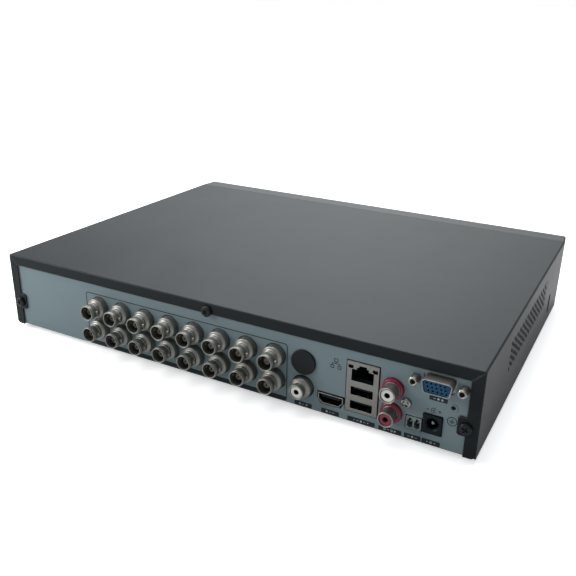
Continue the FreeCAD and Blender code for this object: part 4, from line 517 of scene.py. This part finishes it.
# spring sleeves that line the holes for the plugs' centre pins; they are coloured black and closed at the
# floor as painted shade deep in the holes
audioPinHoleShade = {
    "inner": 1.25, "outer": 1.57, "from": 8.4, "to": 0.9, "floor": 0.4, "ease": 0.05,
    "tips": (8.5, 9.5, 9.5), "turns": 40,
}


# the black cups are painted shade for the depth of the pin holes
def makeAudioPinHoleShade(look):
    grids = []
    single, (lowX, lowZ) = audioSocket["single"]["place"], audioSocket["low"]["place"]
    places = (single, (lowX, lowZ), (lowX, lowZ + audioSocket["gap"]))
    for (x, z), tip in zip(places, look["tips"]):
        low, high = tip - look["from"], tip - look["to"]
        floor, inner, outer = low + look["floor"], look["inner"], look["outer"]
        section = [(low, 0.0), (low, outer), (high, outer), (high, inner), (floor, inner), (floor, 0.0)]
        section = easeCorners(section, look["ease"], 3)
        section[:, 1] = np.maximum(section[:, 1], 0.0)
        grids.append((turned(section, (x, rearFace, z), "y", look["turns"]), False, True))
    makePiece("audioPinSleeveShade", grids, "socket_black")


makeAudioSockets(audioSocket)
makeAudioPinHoleShade(audioPinHoleShade)
print("audio sockets made")

# cross-head screws: pan heads, each sunk by a cross, deepest in the middle and with leaning walls
rearScrew = {
    "cover": {
        "places": [(154.5, 19.9), (-154.5, 19.9), (0.0, 48.2)], "twist": (0.35, 1.1, 0.7),
        "seat": 1.0, "head": 3.25, "rise": 2.2, "length": 6.0, "shank": 1.45,
        "arm": 1.9, "half": 0.42, "deep": 1.5},
    "socket": {
        "places": [(-122.6, 24.4)], "twist": (0.62,),
        "seat": 0.0, "head": 2.8, "rise": 1.9, "length": 8.0, "shank": 1.45,
        "arm": 2.05, "half": 0.72, "deep": 1.7},
    "rings": 44, "turns": 144,
}


def crossHead(x, z, look, twist, rings, turns):
    angle = np.linspace(0, 2 * math.pi, turns, endpoint=False)[None, :]
    radius = look["head"] * np.linspace(0, 1, rings)[:, None] + 0.0 * angle
    across, up = np.abs(radius * np.cos(angle + twist)), np.abs(radius * np.sin(angle + twist))
    near, far = np.minimum(across, up), np.maximum(across, up)
    lean = look["half"] * (1.15 - 0.35 * far / look["arm"])
    cross = (1 - eased(lean - 0.07, lean + 0.07, near)) * (1 - eased(look["arm"] - 0.45, look["arm"], far))
    share = radius / look["head"]
    dome = look["rise"] * (1 - 0.16 * share ** 2 - 0.24 * share ** 8)
    face = dome - look["deep"] * cross * (1 - 0.45 * far / look["arm"])
    edge = look["rise"] * 0.6
    head, shank, end = look["head"], look["shank"], -look["length"]
    rest = np.array([
        (edge * 0.8, head + 0.03), (0.12, head), (0.0, head - 0.12), (0.0, shank),
        (end + 0.5, shank), (end, shank - 0.4), (end, 0.0)])
    along = np.concatenate([face, rest[:, :1] + 0.0 * angle])
    radius = np.concatenate([radius, rest[:, 1:] + 0.0 * angle])
    place = np.array((x, rearFace + look["seat"], z))
    points = np.stack([radius * np.cos(angle), along, radius * np.sin(angle)], axis=-1)
    return ((points + place) * mm, False, True)


def makeRearScrews(look):
    kinds = (("cover", "black_screw", "cover_screws"), ("socket", "bright_screw", "connector_screw"))
    for kind, slot, node in kinds:
        given = look[kind]
        grids = [crossHead(*place, given, turn, look["rings"], look["turns"])
                 for place, turn in zip(given["places"], given["twist"])]
        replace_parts(makePiece(kind + "ScrewHeads", grids, slot, sharp=50.0), node)


makeRearScrews(rearScrew)
print("screw heads made")

# jack screws: six-sided outside and threaded inside
# radius = flat / cos(angle from the nearest flat), rounded off
jackScrew = {
    "places": [(-151.45, 40.4), (-126.45, 40.4)], "flat": 2.4, "corner": 2.68, "reach": 5.8,
    "bore": 1.35, "floor": 0.4, "pitch": 0.55, "thread": 0.11, "threadRows": 88, "turns": 96,
    "rim": [(-0.12, 2.2), (0.0, 2.02), (0.0, 1.62)], "tail": -6.0, "shank": 1.45,
}


def jackGrid(x, z, look):
    angle = np.linspace(0, 2 * math.pi, look["turns"], endpoint=False)[None, :]
    turn = np.mod(angle, math.pi / 3) - math.pi / 6
    six = np.minimum(look["flat"] / np.cos(turn), look["corner"])
    none, reach, tail, shank = 0 * six, look["reach"], look["tail"], look["shank"]
    outside = [(0.0, six), (reach - 0.55, six)]
    outside += [(reach + back, none + radius) for back, radius in look["rim"]]
    outside.append((reach - 0.3, none + look["bore"]))
    depth = np.linspace(reach - 0.35, look["floor"], look["threadRows"])[:, None]
    wave = np.abs(np.mod(depth / look["pitch"] + angle / (2 * math.pi), 1.0) - 0.5) * 2
    fade = eased(reach - 0.35, reach - 0.9, depth)
    inside = look["bore"] + look["thread"] * wave * fade
    behind = [(tail, none), (tail, none + shank - 0.3), (tail + 0.3, none + shank), (0.0, none + shank)]
    before = np.array([[place] for place, _ in behind + outside])
    along = np.concatenate([before + 0 * angle, depth + 0 * angle, none + look["floor"]])
    radius = np.concatenate([ring for _, ring in behind + outside] + [inside, none])
    points = np.stack([radius * np.cos(angle), along, radius * np.sin(angle)], axis=-1)
    return ((points + np.array((x, rearFace, z))) * mm, False, True)


def makeJackScrews(look):
    grids = [jackGrid(x, z, look) for x, z in look["places"]]
    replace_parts(makePiece("jackScrews", grids, "nickel", sharp=28.0), "vga_jack_screws")


makeJackScrews(jackScrew)
print("jack screws made")

# feet: turned rubber pads with ribs round the side and rings under the sole
rubberFoot = {
    "outline": [
        (6.2, 0.0), (6.2, 1.9), (5.6, 2.5), (3.4, 2.5), (3.0, 2.8), (3.0, 6.7), (2.75, 7.0),
        (2.2, 6.95), (0.5, 6.35), (0.08, 6.1), (0.0, 5.8), (0.0, 5.5), (0.28, 5.35), (0.28, 5.05),
        (0.0, 4.9), (0.0, 4.4), (0.28, 4.25), (0.28, 3.95), (0.0, 3.8), (0.0, 3.2), (0.12, 3.0),
        (0.8, 2.95), (0.8, 0.0)],
    "turns": 144, "ribs": 36, "ribDepth": 0.10, "ribOver": 6.0, "ribFrom": 0.3, "ribTo": 2.9,
    "radius": 7.0,
}


def makeFeet(look):
    low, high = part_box("rubber_feet")
    outline = np.array(look["outline"])
    angle = np.linspace(0, 2 * math.pi, look["turns"], endpoint=False)[None, :]
    height, radius = outline[:, :1], outline[:, 1:]
    ribbed = (radius > look["ribOver"]) & (height > look["ribFrom"]) & (height < look["ribTo"])
    wave = 0.5 + 0.5 * np.cos(look["ribs"] * angle)
    radius = radius - look["ribDepth"] * ribbed.astype(float) * wave
    points = [radius * np.cos(angle), radius * np.sin(angle), height + 0.0 * angle]
    points = np.stack(points, axis=-1)
    grids = []
    for x in (low[0] / mm + look["radius"], high[0] / mm - look["radius"]):
        for y in (low[1] / mm + look["radius"], high[1] / mm - look["radius"]):
            grids.append(((points + np.array((x, y, 0.0))) * mm, False, True))
    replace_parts(makePiece("ribbedFeet", grids, "foot_rubber", sharp=40.0), "rubber_feet")


makeFeet(rubberFoot)
print("feet made")

# pale signs on the printed label boxes: plain bars, rings, squares and arrows that stand for no word
labelSign = {
    "height": 5.2, "thick": 0.10, "lift": 0.06, "line": 0.28, "size": 1.3, "pitch": 2.0,
    "boxes": [
        (-63.25, "ring bar arrowOut"), (-80.0, "square bar bar"), (-98.4, "dot bar square bar dot"),
        (-115.0, "ring bar ring arrowIn"), (-127.4, "bar square bar"), (-137.35, "dot ring bar")],
    "upper": (-138.95, 31.35, "bar square square"),
}


# a flat outline is carried from one depth to the other, closed by its middle at both ends
def slab(outline, x, z, low, high):
    outline = np.asarray(outline, float)
    hub = np.zeros_like(outline) + outline.mean(0)
    rows = []
    for ring, depth in ((hub, low), (outline, low), (outline, high), (hub, high)):
        rows.append(np.stack([ring[:, 0] + x, np.full(len(ring), depth), ring[:, 1] + z], axis=-1))
    return (np.stack(rows) * mm, False, True)


def hoop(x, z, inner, outer, low, high, turns=36):  # a flat ring: its square section is carried round
    section = [(low, inner), (low, outer), (high, outer), (high, inner)]
    return (turned(section, (x, 0.0, z), "y", turns), True, True)


def signGrid(kind, x, z, size, low, high):
    half, line = size / 2, labelSign["line"]
    if kind == "ring":
        return hoop(x, z, half - line, half, low, high)
    if kind == "dot":
        angle = np.linspace(0, 2 * math.pi, 28, endpoint=False)
        return slab(np.stack([np.cos(angle), np.sin(angle)], -1) * half * 0.5, x, z, low, high)
    if kind == "bar":
        bar = [(-half, -line / 2), (half, -line / 2), (half, line / 2), (-half, line / 2)]
        return slab(easeCorners(bar, 0.1), x, z, low, high)
    if kind == "square":
        side = half * 0.8
        square = [(-side, -side), (side, -side), (side, side), (-side, side)]
        return slab(easeCorners(square, 0.2), x, z, low, high)
    way = 1 if kind == "arrowOut" else -1
    tip = [(-half * way, -half), (half * way, 0.0), (-half * way, half)]
    return slab(easeCorners(tip, 0.12), x, z, low, high)


def makeLabelSigns(look):
    low, high = rearFace + look["lift"], rearFace + look["thick"]
    grids = []
    rows = [(x, look["height"], kinds) for x, kinds in look["boxes"]] + [look["upper"]]
    for x, z, kinds in rows:
        words = kinds.split()
        for k, kind in enumerate(words):
            place = x - (k - (len(words) - 1) / 2) * look["pitch"]
            grids.append(signGrid(kind, place, z, look["size"], low, high))
    makePiece("labelSigns", grids, "pale_ink")


makeLabelSigns(labelSign)
print("label signs made")


# light and floor
studio = {
    "skyLow": 0.36, "skyGlow": 4.0, "glowWay": (0.322, -0.724, 0.610), "glowPower": 16.0,
    "skyTint": (0.94, 0.975, 1.0, 1),
    "top": {"place": (0.25, -0.3, 1.6), "size": 1.6, "power": 30.0, "aim": (0, 0, 0)},
    "left": {"place": (0.70, 0.50, 0.40), "size": 0.35, "power": 5.5, "aim": (0.12, 0.1, 0.03)},
    "floorGlow": 0.5, "floorBounce": 0.65, "floorRadius": 30.0, "floorRings": 40, "floorTurns": 96,
}


def makeWorld(settings):  # one wide soft glow beyond the front of the recorder, falling off to a dim room
    world = bpy.data.worlds.new("studioSky")
    bpy.context.scene.world = world
    world.use_nodes = True
    tree = world.node_tree
    tree.nodes.clear()
    way = addNode(tree, "ShaderNodeTexCoord").outputs["Generated"]
    near = addNode(tree, "ShaderNodeVectorMath", {0: way, 1: settings["glowWay"]}, operation="DOT_PRODUCT")
    lobe = mathNode(tree, "MAXIMUM", near.outputs["Value"], 0.0)
    lobe = mathNode(tree, "POWER", lobe, settings["glowPower"])
    glow = mathNode(tree, "MULTIPLY_ADD", lobe, settings["skyGlow"])
    glow.node.inputs[2].default_value = settings["skyLow"]
    sky = addNode(tree, "ShaderNodeBackground", {"Color": settings["skyTint"], "Strength": glow})
    plain = addNode(tree, "ShaderNodeBackground", {"Color": (1, 1, 1, 1), "Strength": 1.0})
    seen = addNode(tree, "ShaderNodeLightPath").outputs["Is Camera Ray"]
    mixed = addNode(tree, "ShaderNodeMixShader", {0: seen, 1: sky.outputs[0], 2: plain.outputs[0]})
    result = addNode(tree, "ShaderNodeOutputWorld")
    tree.links.new(mixed.outputs[0], result.inputs["Surface"])


def makeSoftbox(name, lamp):
    data = bpy.data.lights.new(name, "AREA")
    data.energy, data.size = lamp["power"], lamp["size"]
    light = bpy.data.objects.new(name, data)
    bpy.context.scene.collection.objects.link(light)
    place, aim = Vector(lamp["place"]), Vector(lamp["aim"])
    light.location = place
    light.rotation_euler = (aim - place).to_track_quat("-Z", "Y").to_euler()


def floorFinish(settings):  # pale paper, which sends less light back up than it shows
    material = makeFinish("studio_floor", finishes["studio_floor"])
    tree = material.node_tree
    shader = tree.nodes["Principled BSDF"]
    shown = shader.inputs["Base Color"].links[0].from_socket
    direct = addNode(tree, "ShaderNodeLightPath").outputs["Is Camera Ray"]
    bounce = (*[settings["floorBounce"]] * 3, 1)
    tree.links.new(mixColour(tree, direct, bounce, shown), shader.inputs["Base Color"])
    tree.links.new(mixColour(tree, direct, (0, 0, 0, 1), (1, 1, 1, 1)), shader.inputs["Emission Color"])
    shader.inputs["Emission Strength"].default_value = settings["floorGlow"]
    return material


def makeFloor(settings):  # a flat disc: x = r cos t, y = r sin t
    rings, turns = settings["floorRings"], settings["floorTurns"]
    radius = np.linspace(0.0, settings["floorRadius"], rings)[:, None]
    angle = np.linspace(0, 2 * math.pi, turns, endpoint=False)[None, :]
    height = 0.0 * angle + 0.0 * radius
    grid = np.stack([radius * np.cos(angle), radius * np.sin(angle), height], axis=-1)
    mesh = bpy.data.meshes.new("studioFloor")
    mesh.from_pydata(grid.reshape(-1, 3).tolist(), [], gridFaces(rings, turns, False, True, 0).tolist())
    mesh.materials.append(floorFinish(settings))
    floor = bpy.data.objects.new("studioFloor", mesh)
    bpy.context.scene.collection.objects.link(floor)


makeWorld(studio)
makeSoftbox("topSoftbox", studio["top"])
makeSoftbox("leftSoftbox", studio["left"])
makeFloor(studio)
bpy.context.scene.view_settings.view_transform = "Standard"
print("studio lit")
